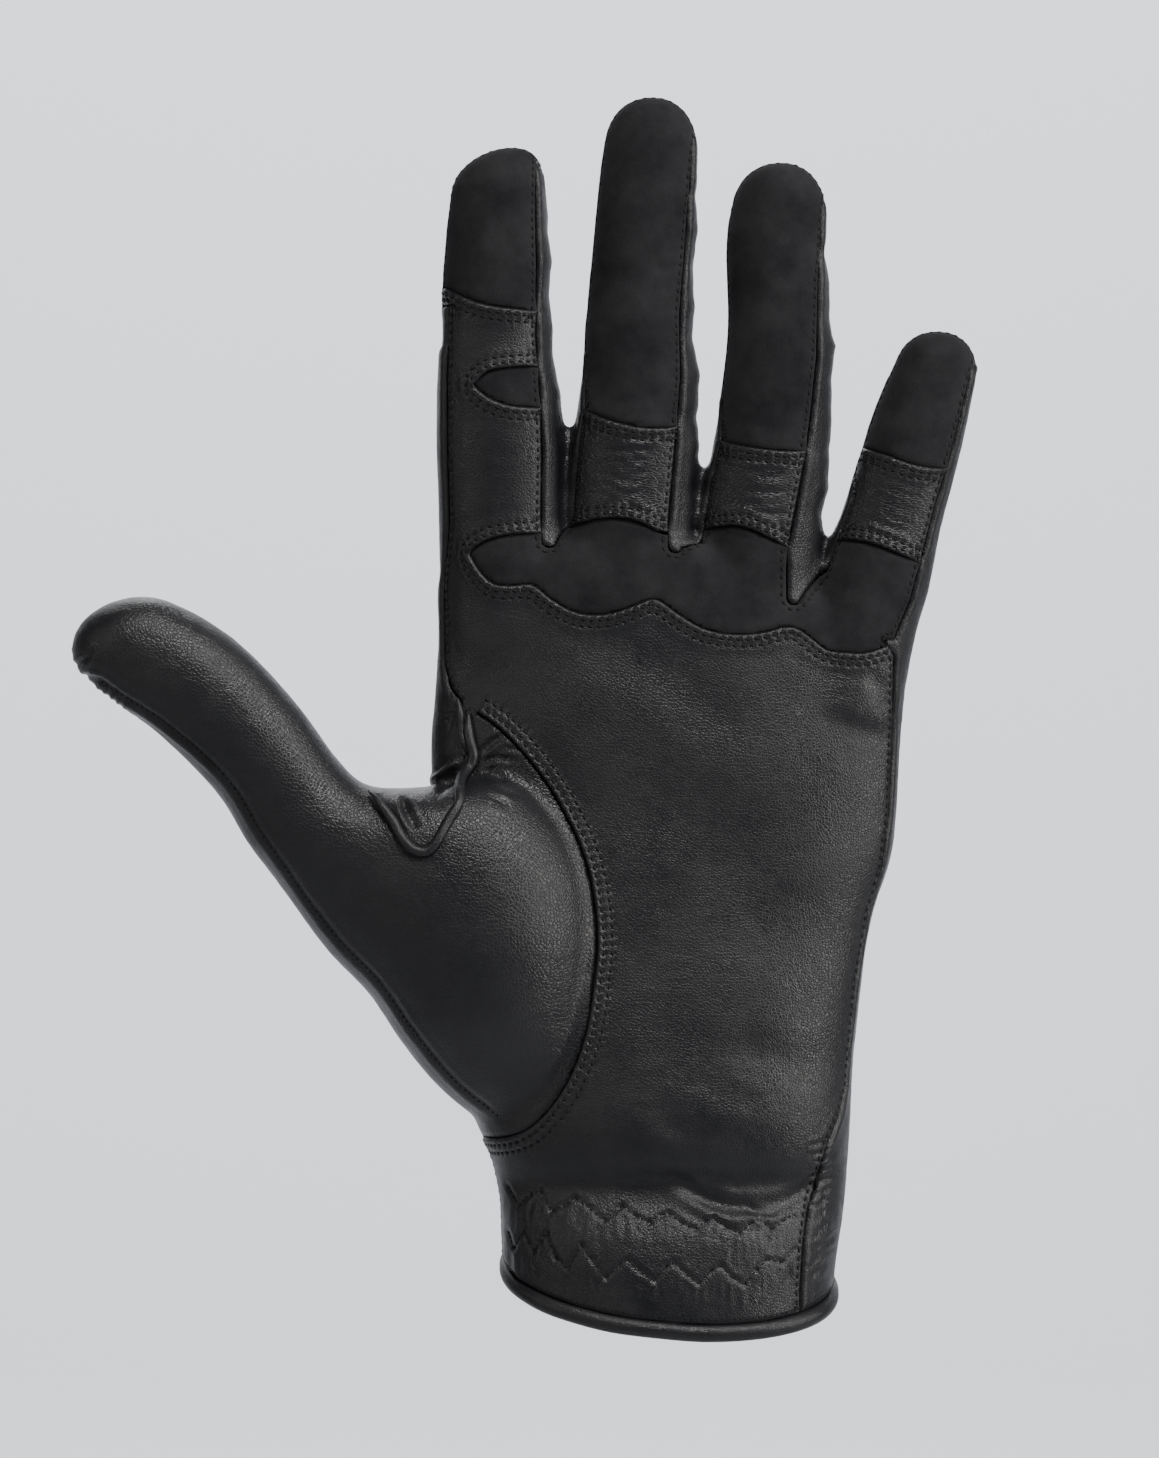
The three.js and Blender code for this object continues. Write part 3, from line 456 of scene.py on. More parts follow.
class Skin:
    def __init__(self, bm):
        bm.normal_update()
        self.verts = list(bm.verts)
        self.at = [v.co / mm for v in self.verts]
        self.out = [v.normal.copy() for v in self.verts]
        self.move = [0.0] * len(self.verts)
        front = [i for i, out in enumerate(self.out) if out.y < 0.35]
        self.front = KDTree(len(front))
        for i in front:
            self.front.insert((self.at[i].x, 0, self.at[i].z), i)
        self.front.balance()

    def press(self, points, wide, deep, lip=0.25, taper=0.25, wander=0.0):
        # a groove along a line; a negative depth raises a ridge
        line = smoothLine(points, wide * 0.45)
        near = {}
        last = len(line) - 1
        for k, (x, z) in enumerate(line):
            if wander:
                x += wander * noise.noise(Vector((x * 0.3, z * 0.3, 3.1)))
                z += wander * noise.noise(Vector((x * 0.3, z * 0.3, 9.7)))
            share = k / last
            fade = min(1.0, share / taper, (1 - share) / taper) if taper else 1.0
            for co, i, gap in self.front.find_range((x, 0, z), wide * 2.6):
                if gap < near.get(i, (99,))[0]:
                    near[i] = (gap, fade)
        for i, (gap, fade) in near.items():
            t = gap / wide
            fade = fade * fade * (3 - 2 * fade)
            self.move[i] += deep * fade * (lip * math.exp(-(t - 1.6) ** 2 * 2.2) - math.exp(-t * t * 1.6))

    def swell(self, x, z, wideX, wideZ, high):
        # a soft bump, or a dent where high is negative
        for co, i, gap in self.front.find_range((x, 0, z), 2 * max(wideX, wideZ)):
            u, v = (co[0] - x) / wideX, (co[2] - z) / wideZ
            self.move[i] += high * math.exp(-(u * u + v * v) * 1.4)

    def settle(self):
        for v, move, out in zip(self.verts, self.move, self.out):
            v.co += out * (move * mm)


skin = Skin(bm)

for i, at in enumerate(skin.at):  # slack leather: slow waves and small creases
    skin.move[i] += 0.28 * noise.noise(at * 0.055) + 0.09 * noise.noise(at * 0.13 + Vector((7, 3, 1)))
    skin.move[i] += 0.05 * noise.noise(Vector((at.x * 0.35, at.y * 0.35, at.z * 0.6)))

creases = [  # finger, from and to as shares of its length, how many, depth
    ("middle", .03, .24, 20, .13), ("ring", .04, .25, 12, .1), ("little", .08, .46, 12, .09),
    ("index", .6, .68, 4, .09), ("index", .06, .4, 6, .06),
]
for name, low, high, count, deep in creases:
    finger = fingers[name]
    for k in range(count):
        share = low + (high - low) * (k + rand.uniform(.2, .8)) / count
        half = finger["width"] / 2
        start, stop = rand.uniform(-.85, -.1) * half, rand.uniform(0, .5) * half
        tilt = rand.uniform(-.02, .02)
        points = [onFinger(finger, share, start), onFinger(finger, share + tilt - .008, (start + stop) / 2),
                  onFinger(finger, share + tilt, stop)]
        skin.press(points, rand.uniform(.42, .6), deep * rand.uniform(.6, 1.3), 0.5, wander=.3)

folds = {  # the palm's and the fingers' larger folds: line, width, depth
    "wristFold": (picked((662, 1166), (688, 1185), (714, 1197), (741, 1202), (768, 1200), (800, 1188),
                         (826, 1172), (846, 1164)), 1.4, .62),
    "wristFoldLip": (picked((660, 1178), (690, 1200), (722, 1212), (752, 1214), (782, 1208)), 1.7, -.16),
    "wristFoldUnder": (picked((668, 1190), (700, 1211), (735, 1222), (770, 1216)), 1.0, .2),
    "wristFoldFork": (picked((742, 1200), (760, 1208), (782, 1206)), .8, .35),
    "palmSideFold": (picked((720, 1030), (765, 1052), (805, 1060), (845, 1052)), 3.4, .2),
    "palmLine": (picked((560, 640), (640, 660), (700, 700), (740, 760)), 5, .25),
    "palmHeelFold": (picked((640, 1100), (690, 1128), (750, 1140), (800, 1130)), 3.2, .25),
    "gripMiddle": (picked((655, 598), (672, 588), (690, 578)), 1.3, -.25),
    "middleDent": (picked((654, 266), (663, 271), (674, 272)), 1.0, .5),
    "middleJoint": (picked((600, 398), (630, 389), (658, 392)), 1.1, .22),
    "middleJoint2": (picked((606, 408), (640, 400), (664, 401)), 1.0, .2),
    "middleJoint3": (picked((598, 388), (622, 382), (640, 384)), 1.0, .14),
    "ringJoint": (picked((738, 420), (765, 428), (795, 430)), 1.2, .12),
    "webCreaseA": (picked((480, 762), (497, 757), (512, 760)), .6, .4),
    "webCreaseB": (picked((480, 768), (495, 772), (508, 782)), .6, .3),
    "webCreaseC": (picked((478, 752), (494, 742), (508, 742)), .7, .25),
    "webCreaseD": (picked((476, 778), (486, 792), (500, 806)), .8, .12),
    "palmEdgeCrease": (picked((866, 668), (880, 690), (886, 716)), 1.6, .25),
}
for points, wide, deep in folds.values():
    skin.press(points, wide, deep, 0.4, wander=0.4)

for k in range(15):  # small gathers round the thumb's tip, square to its seam
    at = .967 - .012 * k
    edge = -10.2 + (0.5 if k < 3 else 0)
    reach = rand.uniform(3.5, 7.5) * (1 - k / 26)
    skew = rand.uniform(-.012, .012)
    line = [onThumb(at, edge + 2.2), onThumb(at + skew / 2, edge + 2.2 + reach / 2),
            onThumb(at + skew, edge + 2.2 + reach)]
    skin.press(line, rand.uniform(.42, .6), rand.uniform(.2, .36) * (1 - k / 24), 0.6, wander=.5, taper=.3)
for k in range(9):  # the pinched leather below the thumb's seam makes a wavy edge
    x, z = onThumb(.92 - .03 * k, -9.5)
    skin.swell(x, z, 1.5, 1.2, rand.uniform(-.3, .3))

thumbSeam = [onThumb(along, across * thumb["thick"] - seam * width * thumb["thick"] / 2)
             for along, across, width, depth, forward, seam in thumb["rows"][1:]]
thumbSeam.append(onThumb(.955, -8))
skin.press(thumbSeam, .62, .55, 0.5, taper=.04)

crotchFolds = {  # rolled folds inside the corded seam: line, width, depth, lip, fading share of the ends
    "roll": (picked((428, 786), (440, 778), (452, 766), (466, 758)), 1.15, -1.25, 0, .3),
    "underRoll": (picked((436, 793), (447, 785), (457, 773)), .8, .8, 0, .3),
    "overRoll": (picked((432, 774), (442, 766), (452, 756)), .8, .5, 0, .3),
    "leafGroove": (picked((404, 794), (409, 810), (420, 830)), .75, .75, .4, .25),
    "leafLeft": (picked((388, 792), (400, 808), (412, 832)), 1.5, -.25, 0, .25),
    "leafRight": (picked((418, 794), (430, 806), (436, 822)), 1.7, -.3, 0, .25),
}
for points, wide, deep, lip, taper in crotchFolds.values():
    skin.press(points, wide, deep, lip, taper)
for k in range(13):  # wrinkles that fan out from the corded seam
    x, z = -32.6 + rand.uniform(0, 1.2), 93.2 - .85 * k
    reach, lean = rand.uniform(2.5, 7.5), .28 * (5 - k) + rand.uniform(-.4, .4)
    skin.press([(x, z), (x + reach / 2, z + lean * .4), (x + reach, z + lean)], rand.uniform(.45, .65),
               rand.uniform(.1, .24), .7, wander=.5, taper=.35)

# gathered wrist: two zigzag rows, with the leather puffed up between them
upperZig = picked((507, 1183), (519, 1203), (530, 1190), (540, 1187), (552, 1206), (566, 1199),
                  (575, 1193), (590, 1203), (603, 1215), (618, 1203), (622, 1200), (634, 1210),
                  (648, 1217), (660, 1209), (667, 1207), (680, 1217), (693, 1223), (704, 1215),
                  (712, 1212), (725, 1221), (737, 1228), (748, 1218), (757, 1213), (770, 1224),
                  (780, 1217), (789, 1211))
lowerZig = picked((508, 1228), (514, 1246), (523, 1226), (533, 1247), (546, 1228), (556, 1252),
                  (568, 1262), (582, 1238), (592, 1254), (606, 1271), (618, 1258), (627, 1252),
                  (640, 1264), (653, 1273), (664, 1260), (673, 1255), (684, 1266), (697, 1276),
                  (709, 1264), (719, 1258), (730, 1270), (742, 1278), (754, 1264), (765, 1253),
                  (780, 1256), (794, 1243))
for line in (upperZig, lowerZig):
    for (x0, z0), (x1, z1) in zip(line, line[1:]):
        skin.press([(x0, z0), ((x0 + x1) / 2, (z0 + z1) / 2), (x1, z1)], .48, .32, .2, taper=0)
    for (x0, z0), (x1, z1) in zip(line, line[1:]):
        for share in (.12, .4, .68):
            x, z = x0 + (x1 - x0) * share, z0 + (z1 - z0) * share
            drop = rand.uniform(3.2, 6.4)
            lean = rand.uniform(-.9, .9)
            skin.press([(x, z - .5), (x + lean * .6, z - drop / 2), (x + lean, z - drop)],
                       rand.uniform(.4, .55), rand.uniform(.03, .12), .5, wander=.8, taper=.35)
    for x, z in line[1::2]:
        skin.swell(x, z - 3.0, 2.4, 3.0, .14)
for k in range(16):  # slanted crinkles in the side strip
    z = 2 + 1.45 * k
    x = 22.8 + rand.uniform(0, 1.4)
    skin.press([(x, z), (x + 2, z + 1), (x + rand.uniform(3, 5), z + rand.uniform(1.6, 2.6))], .6,
               rand.uniform(.12, .3), .8, wander=.6)

for name in ("index", "middle", "ring"):  # gathers give the gussets a wavy side
    finger = fingers[name]
    for n in range(9):
        share = .1 + .085 * n + rand.uniform(-.02, .02)
        half = finger["width"] / 2 * curve(finger["rows"], share, 1)
        x, z = onFinger(finger, share, half * 1.02 + curve(finger["rows"], share, 2) * finger["width"])
        skin.swell(x, z, 2.4, 1.7, rand.uniform(.15, .42) * (1 if n % 2 else -1))
backStep = {"edge": -37.5, "foot": 100, "head": 161, "high": 0.55}  # the back's edge beside the index finger
for i, at in enumerate(skin.at):
    inward, above, below = backStep["edge"] - at.x, at.z - backStep["foot"], backStep["head"] - at.z
    if min(inward, above, below) > 0:
        skin.move[i] += backStep["high"] * min(1, below / 0.8) * min(1, above / 25) * min(1, inward / 1.5)
seamNub = picked((832, 346))[0]
skin.swell(*seamNub, .8, .9, .7)
skin.settle()
smooth(bm, 0.35, 2)
whole = meshFrom(bm, "whole")
say("folds pressed in")


# the seams: the whole form is cut into the panels that are sewn together

def slab(outline, low=-90, high=90, across="x"):
    # a flat outline pushed through the glove
    bm = bmesh.new()
    if across == "x":
        verts = [bm.verts.new((x * mm, low * mm, z * mm)) for x, z in outline]
        along = (0, (high - low) * mm, 0)
    else:
        verts = [bm.verts.new((low * mm, y * mm, z * mm)) for y, z in outline]
        along = ((high - low) * mm, 0, 0)
    face = bm.faces.new(verts)
    grown = bmesh.ops.extrude_face_region(bm, geom=[face])["geom"]
    bmesh.ops.translate(bm, verts=[g for g in grown if isinstance(g, bmesh.types.BMVert)], vec=along)
    bmesh.ops.recalc_face_normals(bm, faces=bm.faces)
    for face in bm.faces:
        face.material_index = 1
    return meshFrom(bm, "slab")


def cut(mesh, tool, how):
    for part in (mesh, tool):
        while len(part.materials) < 2:
            part.materials.append(None)
    other = bpy.data.objects.new("tool", tool)
    scene.collection.objects.link(other)
    result = finished(mesh, "BOOLEAN", operation=how, object=other, solver="MANIFOLD")
    bpy.data.objects.remove(other)
    return result


def union(meshes):
    result = meshes[0]
    for mesh in meshes[1:]:
        result = cut(result, mesh, "UNION")
    return result


far = 400
halfLevels = [-far, 114.4, 140, 159, 180, 203.9, far]


def frontHalf(back=0.0, top=None):
    # all in front of the side seams; towards a fingertip the edge runs forward
    levels = sorted(halfLevels + ([top - 18, top - 2, top] if top else []))
    edge = []
    for z in levels:
        taper = min(1.0, max(0.1, (top - 2 - z) / 16)) if top else 1.0
        edge.append((middleY(min(z, 203.9)) + back * taper, z))
    return slab([(-far, -far)] + edge + [(-far, far)], -200, 200, "y")


def hemHeight(x, y):
    u, v = x / 28.24, y / 20.52
    return 2.4 * u * u - 2.2 * u + 5.6 * v


bm = bmesh.new()
bmesh.ops.create_grid(bm, x_segments=16, y_segments=16, size=0.06)
for v in bm.verts:
    v.co.z = hemHeight(v.co.x / mm, v.co.y / mm) * mm
top = bmesh.ops.extrude_face_region(bm, geom=list(bm.faces))["geom"]
for g in top:
    if isinstance(g, bmesh.types.BMVert):
        g.co.z = -0.08
bmesh.ops.recalc_face_normals(bm, faces=bm.faces)
for face in bm.faces:
    face.material_index = 1
belowHem = meshFrom(bm, "belowHem")

ballCurve = picked((471, 709), (496, 726), (523, 753), (546, 783), (566, 816), (582, 852), (592, 892),
                   (596, 942), (592, 985), (586, 1025), (572, 1068), (552, 1101), (529, 1124),
                   (509, 1133), (491, 1136))
ballCurve = smoothLine([(-34.2, 98.7)] + ballCurve[1:], 1.5)
webOutline = [onThumb(along, across * thumb["thick"]) for along, across in (
    (.549, .734), (.521, .751), (.486, .725), (.453, .671), (.43, .673), (.415, .723), (.415, .827),
    (.421, .95), (.432, 1.096), (.44, 1.268), (.463, 1.37), (.477, 1.523), (.503, 1.663), (.524, 1.753),
    (.528, 1.68), (.513, 1.493), (.515, 1.279), (.542, 1.156), (.575, 1.014))]


def beside(row, side):
    # a place 12 mm beyond the thumb's lower (-1) or upper (1) side
    at, across, width = row[:3]
    return onThumb(at, across * thumb["thick"] + side * (width * thumb["thick"] / 2) + side * 12)


lowSide = [beside(row, -1) for row in thumb["rows"][1:]]
topSide = [beside(row, 1) for row in thumb["rows"][8:]][::-1]
beyondTip = [onThumb(1.15, -17.3), onThumb(1.15, 3.3)]
thumbFront = ballCurve + [(-36, 25.2)] + lowSide + beyondTip + topSide + webOutline[-1:]
thumbBack = smoothLine([(-41.6, 88.4), (-37.2, 72.8), (-33.2, 54.6), (-30, 37.7), (-27.6, 28.1)], 2)
thumbBack.append((-36, 25.2))
thumbBack += lowSide + beyondTip + topSide


def seamAt(finger, share):
    lean = finger["seam"][0] + (finger["seam"][1] - finger["seam"][0]) * share
    shift = curve(finger["rows"], share, 2) * finger["width"]
    return onFinger(finger, share, shift + lean * curve(finger["rows"], share, 1) * finger["width"] / 2)


names = list(fingers)
crotches = []
for left, right in zip(names, names[1:]):
    x = (fingers[left]["root"][0] + fingers[right]["root"][0]) / 2
    crotches.append((x, palm["rows"][-1][0] - knuckleDrop(x)))
feet = []
for name, (x, z) in zip(names, crotches):
    left = seamAt(fingers[name], 0)[0]
    feet.append([(left + share * 2.4, z - 2.4 + lift) for share, lift in
                 ((0, .95), (.08, .5), (.25, .12), (.5, 0), (.75, .12), (.92, .5), (1, .95))])
palmFront = [(-far, -far), (-far, 98.15), (-34.9, 98.15), (-36.3, 100.4), (-37.8, 102.3), (-38.9, 106.6),
             (-39, 119.6)]
palmFront.append(onFinger(fingers["index"], -.1))
for foot, name in zip(feet, names[1:]):
    palmFront += foot + [onFinger(fingers[name], -.1)]
palmFront += [(38.5, 107.9), (38.2, 93.6), (37.6, 80.6), (36.3, 71.5), (33.9, 63.7), (31.9, 52), (30.6, 40),
              (30.1, 34), (29.1, 29.6), (27.3, 25.4), (25.6, 20.5), (24.5, 17), (23.5, 13.2), (22.7, 7.5),
              (22.2, 0), (22.1, -far)]


def tooth(name, i):
    finger = fingers[name]

    def leftAt(share, beyond):
        shift = curve(finger["rows"], share, 2) * finger["width"]
        return onFinger(finger, share, shift - curve(finger["rows"], share, 1) * finger["width"] / 2 - beyond)

    foot = onFinger(finger, -.2)
    right = [seamAt(finger, share) for share in (1.2, 1, .85, .7, .5, .35, .2, 0)]
    rightFoot = feet[i][0] if i < 3 else (38.5, foot[1])
    leftSeam = ((.02, -1), (.15, -1), (.28, -1), (.35, -.5), (.42, 0), (.56, .8), (1.2, .8))
    if i:
        left = [feet[i - 1][-1]] + [leftAt(share, beyond) for share, beyond in leftSeam]
    else:
        left = [(-39, 119.6)] + [leftAt(share, -1.2) for share in (.02, .2, .4, .585)]
        left += [leftAt(.585, 12), leftAt(1.2, 12)]
    return left + right + [rightFoot, foot]


def edgeAt(finger, height, side):
    share = (height - finger["root"][1]) / (finger["length"] * math.cos(math.radians(finger["lean"])))
    half = curve(finger["rows"], share, 1) * finger["width"] / 2
    return onFinger(finger, share, side * half + curve(finger["rows"], share, 2) * finger["width"])[0]


def gussetSlab(i):
    # the strip between two fingers, running out to a point beside each tip
    x, z = crotches[i]
    foot = z - 2.4
    left, right = fingers[names[i]], fingers[names[i + 1]]
    parts = []
    for finger, side in ((left, 1), (right, -1)):
        inner = onFinger(finger, 1 - 4 / finger["length"])
        between = [(x, foot), (x, z + 1)]
        lowest = min(onFinger(other, 1 - 8 / other["length"])[1] for other in (left, right))
        for k in range(1, 7):
            height = z + 1 + (lowest - z - 1) * k / 6
            between.append(((edgeAt(left, height, 1) + edgeAt(right, height, -1)) / 2, height))
        between.append((between[-1][0], inner[1]))
        outline = [(finger["root"][0], foot), inner] + [(u + .05 * side, v) for u, v in between[::-1]]
        parts.append(cut(slab(outline), frontHalf(5.5, inner[1]), "INTERSECT"))
    return union(parts)


def aboveSlab(finger, edge):
    reach = finger["width"] / 2 + .8
    left, middle, right = edge
    line = [onFinger(finger, share, side * reach) for side, share in
            ((-1, left), (-.4, (left + 3 * middle) / 4), (.2, middle), (1, right))]
    return slab(smoothLine(line, 1) + [onFinger(finger, 1.3, reach), onFinger(finger, 1.3, -reach)])


eyeOutline = picked((474, 387), (487, 375), (504, 371), (530, 369), (560, 369), (560, 409), (538, 409),
                    (506, 406), (485, 397))
gripTop = picked((470, 556), (474, 549), (492, 540), (513, 536), (535, 535), (565, 529), (581, 524),
                 (601, 520), (628, 521), (646, 527), (665, 536), (695, 532), (713, 529), (732, 527),
                 (750, 531), (769, 540), (800, 552), (831, 541), (851, 541), (871, 545), (897, 555),
                 (925, 567), (960, 585))
gripLow = picked((960, 620), (903, 638), (884, 647), (861, 653), (842, 652), (825, 649), (809, 637),
                 (795, 628), (781, 627), (764, 632), (744, 634), (720, 633), (699, 627), (679, 615),
                 (654, 599), (632, 606), (611, 613), (591, 615), (571, 611), (552, 600), (531, 585),
                 (513, 586), (494, 584), (481, 573))
gripOutline = smoothLine(gripTop, .9) + smoothLine(gripLow + gripTop[:1], .9)[:-1]
eyeOutline = smoothLine(eyeOutline[:5], .8) + smoothLine(eyeOutline[5:] + eyeOutline[:1], .8)[:-1]

rest = cut(whole, belowHem, "DIFFERENCE")
patches = {}


def claim(source, name, region):
    patches[name] = cut(source, region, "INTERSECT")
    return cut(source, region, "DIFFERENCE")


rest = claim(rest, "thumb_web_gusset", cut(slab(webOutline), frontHalf(), "INTERSECT"))
thumbRegion = union([cut(slab(thumbFront), frontHalf(), "INTERSECT"),
                     cut(slab(thumbBack), frontHalf(-.05), "DIFFERENCE")])
rest = claim(rest, "thumb_panel", thumbRegion)
fingerFronts = [slab(tooth(name, i)) for i, name in enumerate(names)]
frontRegion = cut(union([slab(palmFront)] + fingerFronts), frontHalf(), "INTERSECT")
front = cut(rest, frontRegion, "INTERSECT")
rest = cut(rest, frontRegion, "DIFFERENCE")
for i, (left, right) in enumerate(zip(names, names[1:])):
    rest = claim(rest, f"gusset_{left}_{right}", gussetSlab(i))
patches["back_panel"] = rest
for name in names:
    front = claim(front, f"{name}_tip_patch", aboveSlab(fingers[name], fingers[name]["tipEdge"]))
front = claim(front, "index_joint_patch", slab(eyeOutline))
front = claim(front, "knuckle_grip_patch", slab(gripOutline))
for name in names[1:]:
    front = claim(front, f"{name}_finger_band", aboveSlab(fingers[name], (0, 0, 0)))
patches["palm_panel"] = front
say("cut into panels")


# each panel as its own sheet: lapped or tucked edges, then the thickness of the leather

panels = {  # look and slot
    "back_panel": ("leather", "leather"), "palm_panel": ("leather", "leather"),
    "thumb_panel": ("pebbled", "leather"), "thumb_web_gusset": ("leather", "leather"),
    "gusset_index_middle": ("leather", "leather"), "gusset_middle_ring": ("leather", "leather"),
    "gusset_ring_little": ("leather", "leather"), "knuckle_grip_patch": ("suede", "suede"),
    "index_joint_patch": ("suede", "suede"), "index_tip_patch": ("suede", "suede"),
    "middle_tip_patch": ("suede", "suede"), "ring_tip_patch": ("suede", "suede"),
    "little_tip_patch": ("suede", "suede"), "middle_finger_band": ("creased", "leather"),
    "ring_finger_band": ("creased", "leather"), "little_finger_band": ("creased", "leather"),
}
suedeNames = [name for name, (look, slot) in panels.items() if look == "suede"]
wall = 1.0 * mm

sheets = {}
rims = []
for name, mesh in patches.items():
    bm = bmesh.new()
    bm.from_mesh(mesh)
    bmesh.ops.delete(bm, geom=[f for f in bm.faces if f.material_index == 1], context="FACES")
    bmesh.ops.remove_doubles(bm, verts=bm.verts, dist=1e-6)
    bmesh.ops.dissolve_degenerate(bm, dist=0.06 * mm, edges=bm.edges)
    bmesh.ops.delete(bm, geom=[v for v in bm.verts if not v.link_faces], context="VERTS")
    for turn in range(2):  # a sliver that faces the wrong way is closed up
        bm.normal_update()
        short = {}
        for face in bm.faces:
            around = sum((f.normal for e in face.edges for f in e.link_faces if f is not face), Vector())
            if face.calc_area() < 4e-8 and face.normal.dot(around) < 0.45 * around.length:
                short[min(face.edges, key=lambda e: e.calc_length())] = True
        bmesh.ops.collapse(bm, edges=list(short))
    bmesh.ops.delete(bm, geom=[v for v in bm.verts if not v.link_faces], context="VERTS")
    seen = set()
    for start in list(bm.faces):  # slivers left at the end of a seam go
        if start in seen:
            continue
        island, queue = {start}, [start]
        while queue:
            for edge in queue.pop().edges:
                for face in edge.link_faces:
                    if face not in island:
                        island.add(face)
                        queue.append(face)
        seen |= island
        if sum(f.calc_area() for f in island) < 4e-6:
            for f in island:
                f.tag = True
    bmesh.ops.delete(bm, geom=[f for f in bm.faces if f.tag], context="FACES")
    bm.normal_update()
    sheets[name] = bm
    rims += [(v.co.copy(), name) for v in bm.verts if v.is_boundary]
    say(f"{name} {len(bm.faces)} faces")

rimTree = KDTree(len(rims))
for i, (co, name) in enumerate(rims):
    rimTree.insert(co, i)
rimTree.balance()


def neighbour(co, name):
    for near, i, gap in rimTree.find_n(co, 12):
        if rims[i][1] != name and gap < 0.9 * mm:
            return rims[i][1]
    return None


def edgeKind(name, other, co):
    # over laps the neighbour, under is tucked beneath it, even is a closed seam, flush shows no seam
    if other is None:
        return "hem"
    if co.x < -33.2 * mm and 84.2 * mm < co.z < 99.6 * mm:
        return "flush"
    if {name, other} & {"palm_panel", "middle_finger_band", "ring_finger_band", "little_finger_band"}:
        if name in suedeNames or (other == "palm_panel" and name == "thumb_panel"):
            return "under"
        if other in suedeNames or (name == "palm_panel" and other == "thumb_panel"):
            return "over"
    if "thumb_web_gusset" in (name, other):
        return "under" if name == "thumb_web_gusset" else "even"
    return "even"


def edgeMove(kind, gap):
    # millimetres outwards at a distance from the edge
    if kind == "over":
        welt = 0.16 * math.exp(-((gap - 0.75) / 0.45) ** 2)
        return 0.3 * max(0.0, 1 - (gap / 3.6) ** 3) + welt - 0.68 * max(0.0, 1 - gap / 0.45) ** 2
    if kind == "under":
        return -0.26 * max(0.0, 1 - gap / 1.0) ** 2 - 0.04
    if kind == "even":
        return 0.14 * math.exp(-((gap - 1.1) / 0.8) ** 2) - 0.62 * max(0.0, 1 - gap / 0.75) ** 2
    if kind == "flush":
        return 0.0
    return -0.5 * max(0.0, 1 - gap / 1.2) ** 2


def crowd(co):
    # less than 1 where more than two panels meet
    nearest = {}
    for near, i, gap in rimTree.find_range(co, 3 * mm):
        nearest[rims[i][1]] = min(gap / mm, nearest.get(rims[i][1], 9))
    gaps = sorted(nearest.values())
    return 1.0 if len(gaps) < 3 else 0.15 + 0.85 * gaps[2] / 3


def refine(bm, reach, least, picks=None):
    rim = [v for v in bm.verts if v.is_boundary and (picks is None or picks(v))]
    if not rim:
        return
    tree = KDTree(len(rim))
    for i, v in enumerate(rim):
        tree.insert(v.co, i)
    tree.balance()
    close = [e for e in bm.edges if e.calc_length() > least * mm
             and all(tree.find(v.co)[2] < reach * mm for v in e.verts)]
    divide(bm, close)


def soften(points, turns=3):
    for turn in range(turns):
        inner = [(a + 2 * b + c) / 4 for a, b, c in zip(points, points[1:], points[2:])]
        points = [points[0]] + inner + [points[-1]]
    return points


def stitchOffsets(name, other, co):
    # how far from the edge the stitch rows run, in mm
    kind = edgeKind(name, other, co)
    if kind == "over":
        return (1.25, 2.8) if other == "thumb_panel" else (.95, 2.1)
    fronted = name.endswith("_patch") or name.endswith("_band") or name == "palm_panel"
    if kind == "even" and other and fronted and (other.startswith("gusset") or other == "back_panel"):
        return (1.0,)
    return ()


def spaced(line, pitch):
    # stitch places along a line of points with their outward directions
    marks, walked, due = [], 0.0, pitch * 0.5
    for (a, outA), (b, outB) in zip(line, line[1:]):
        span = (b - a).length / mm
        while span > 1e-6 and walked + span >= due:
            share = (due - walked) / span
            marks.append((a.lerp(b, share), (b - a).normalized(), outA.lerp(outB, share).normalized()))
            due += pitch * rand.uniform(.94, 1.06)
        walked += span
    return marks


def rimRows(name, bm, loop):
    # the stitch rows beside one loop of the rim
    sheet = BVHTree.FromBMesh(bm)
    runs, run = [], []
    for v in loop:
        offsets = stitchOffsets(name, others[v], v.co)
        if run and run[-1][1] != offsets:
            runs.append(run)
            run = []
        run.append((v, offsets))
    runs.append(run)
    lines = []
    for run in runs:
        if len(run) < 8:
            continue
        path = soften([v.co.copy() for v, offsets in run], 4)
        for offset in run[0][1]:
            line = []
            for i, (v, offsets) in enumerate(run):
                ahead = path[min(i + 2, len(run) - 1)] - path[max(i - 2, 0)]
                middles = [f.calc_center_median() for f in v.link_faces]
                inner = sum(middles, Vector()) / len(middles) - v.co
                into = ahead.cross(v.normal)
                if into.length < 1e-9:
                    continue
                into.normalize()
                if into.dot(inner) < 0:
                    into = -into
                hit, out, k, gap = sheet.find_nearest(path[i] + into * (offset * mm))
                if hit and gap < 1.2 * mm:
                    line.append((hit, out))
            if len(line) > 6:
                lines.append(list(zip(soften([p for p, o in line], 5), [o for p, o in line])))
    return lines


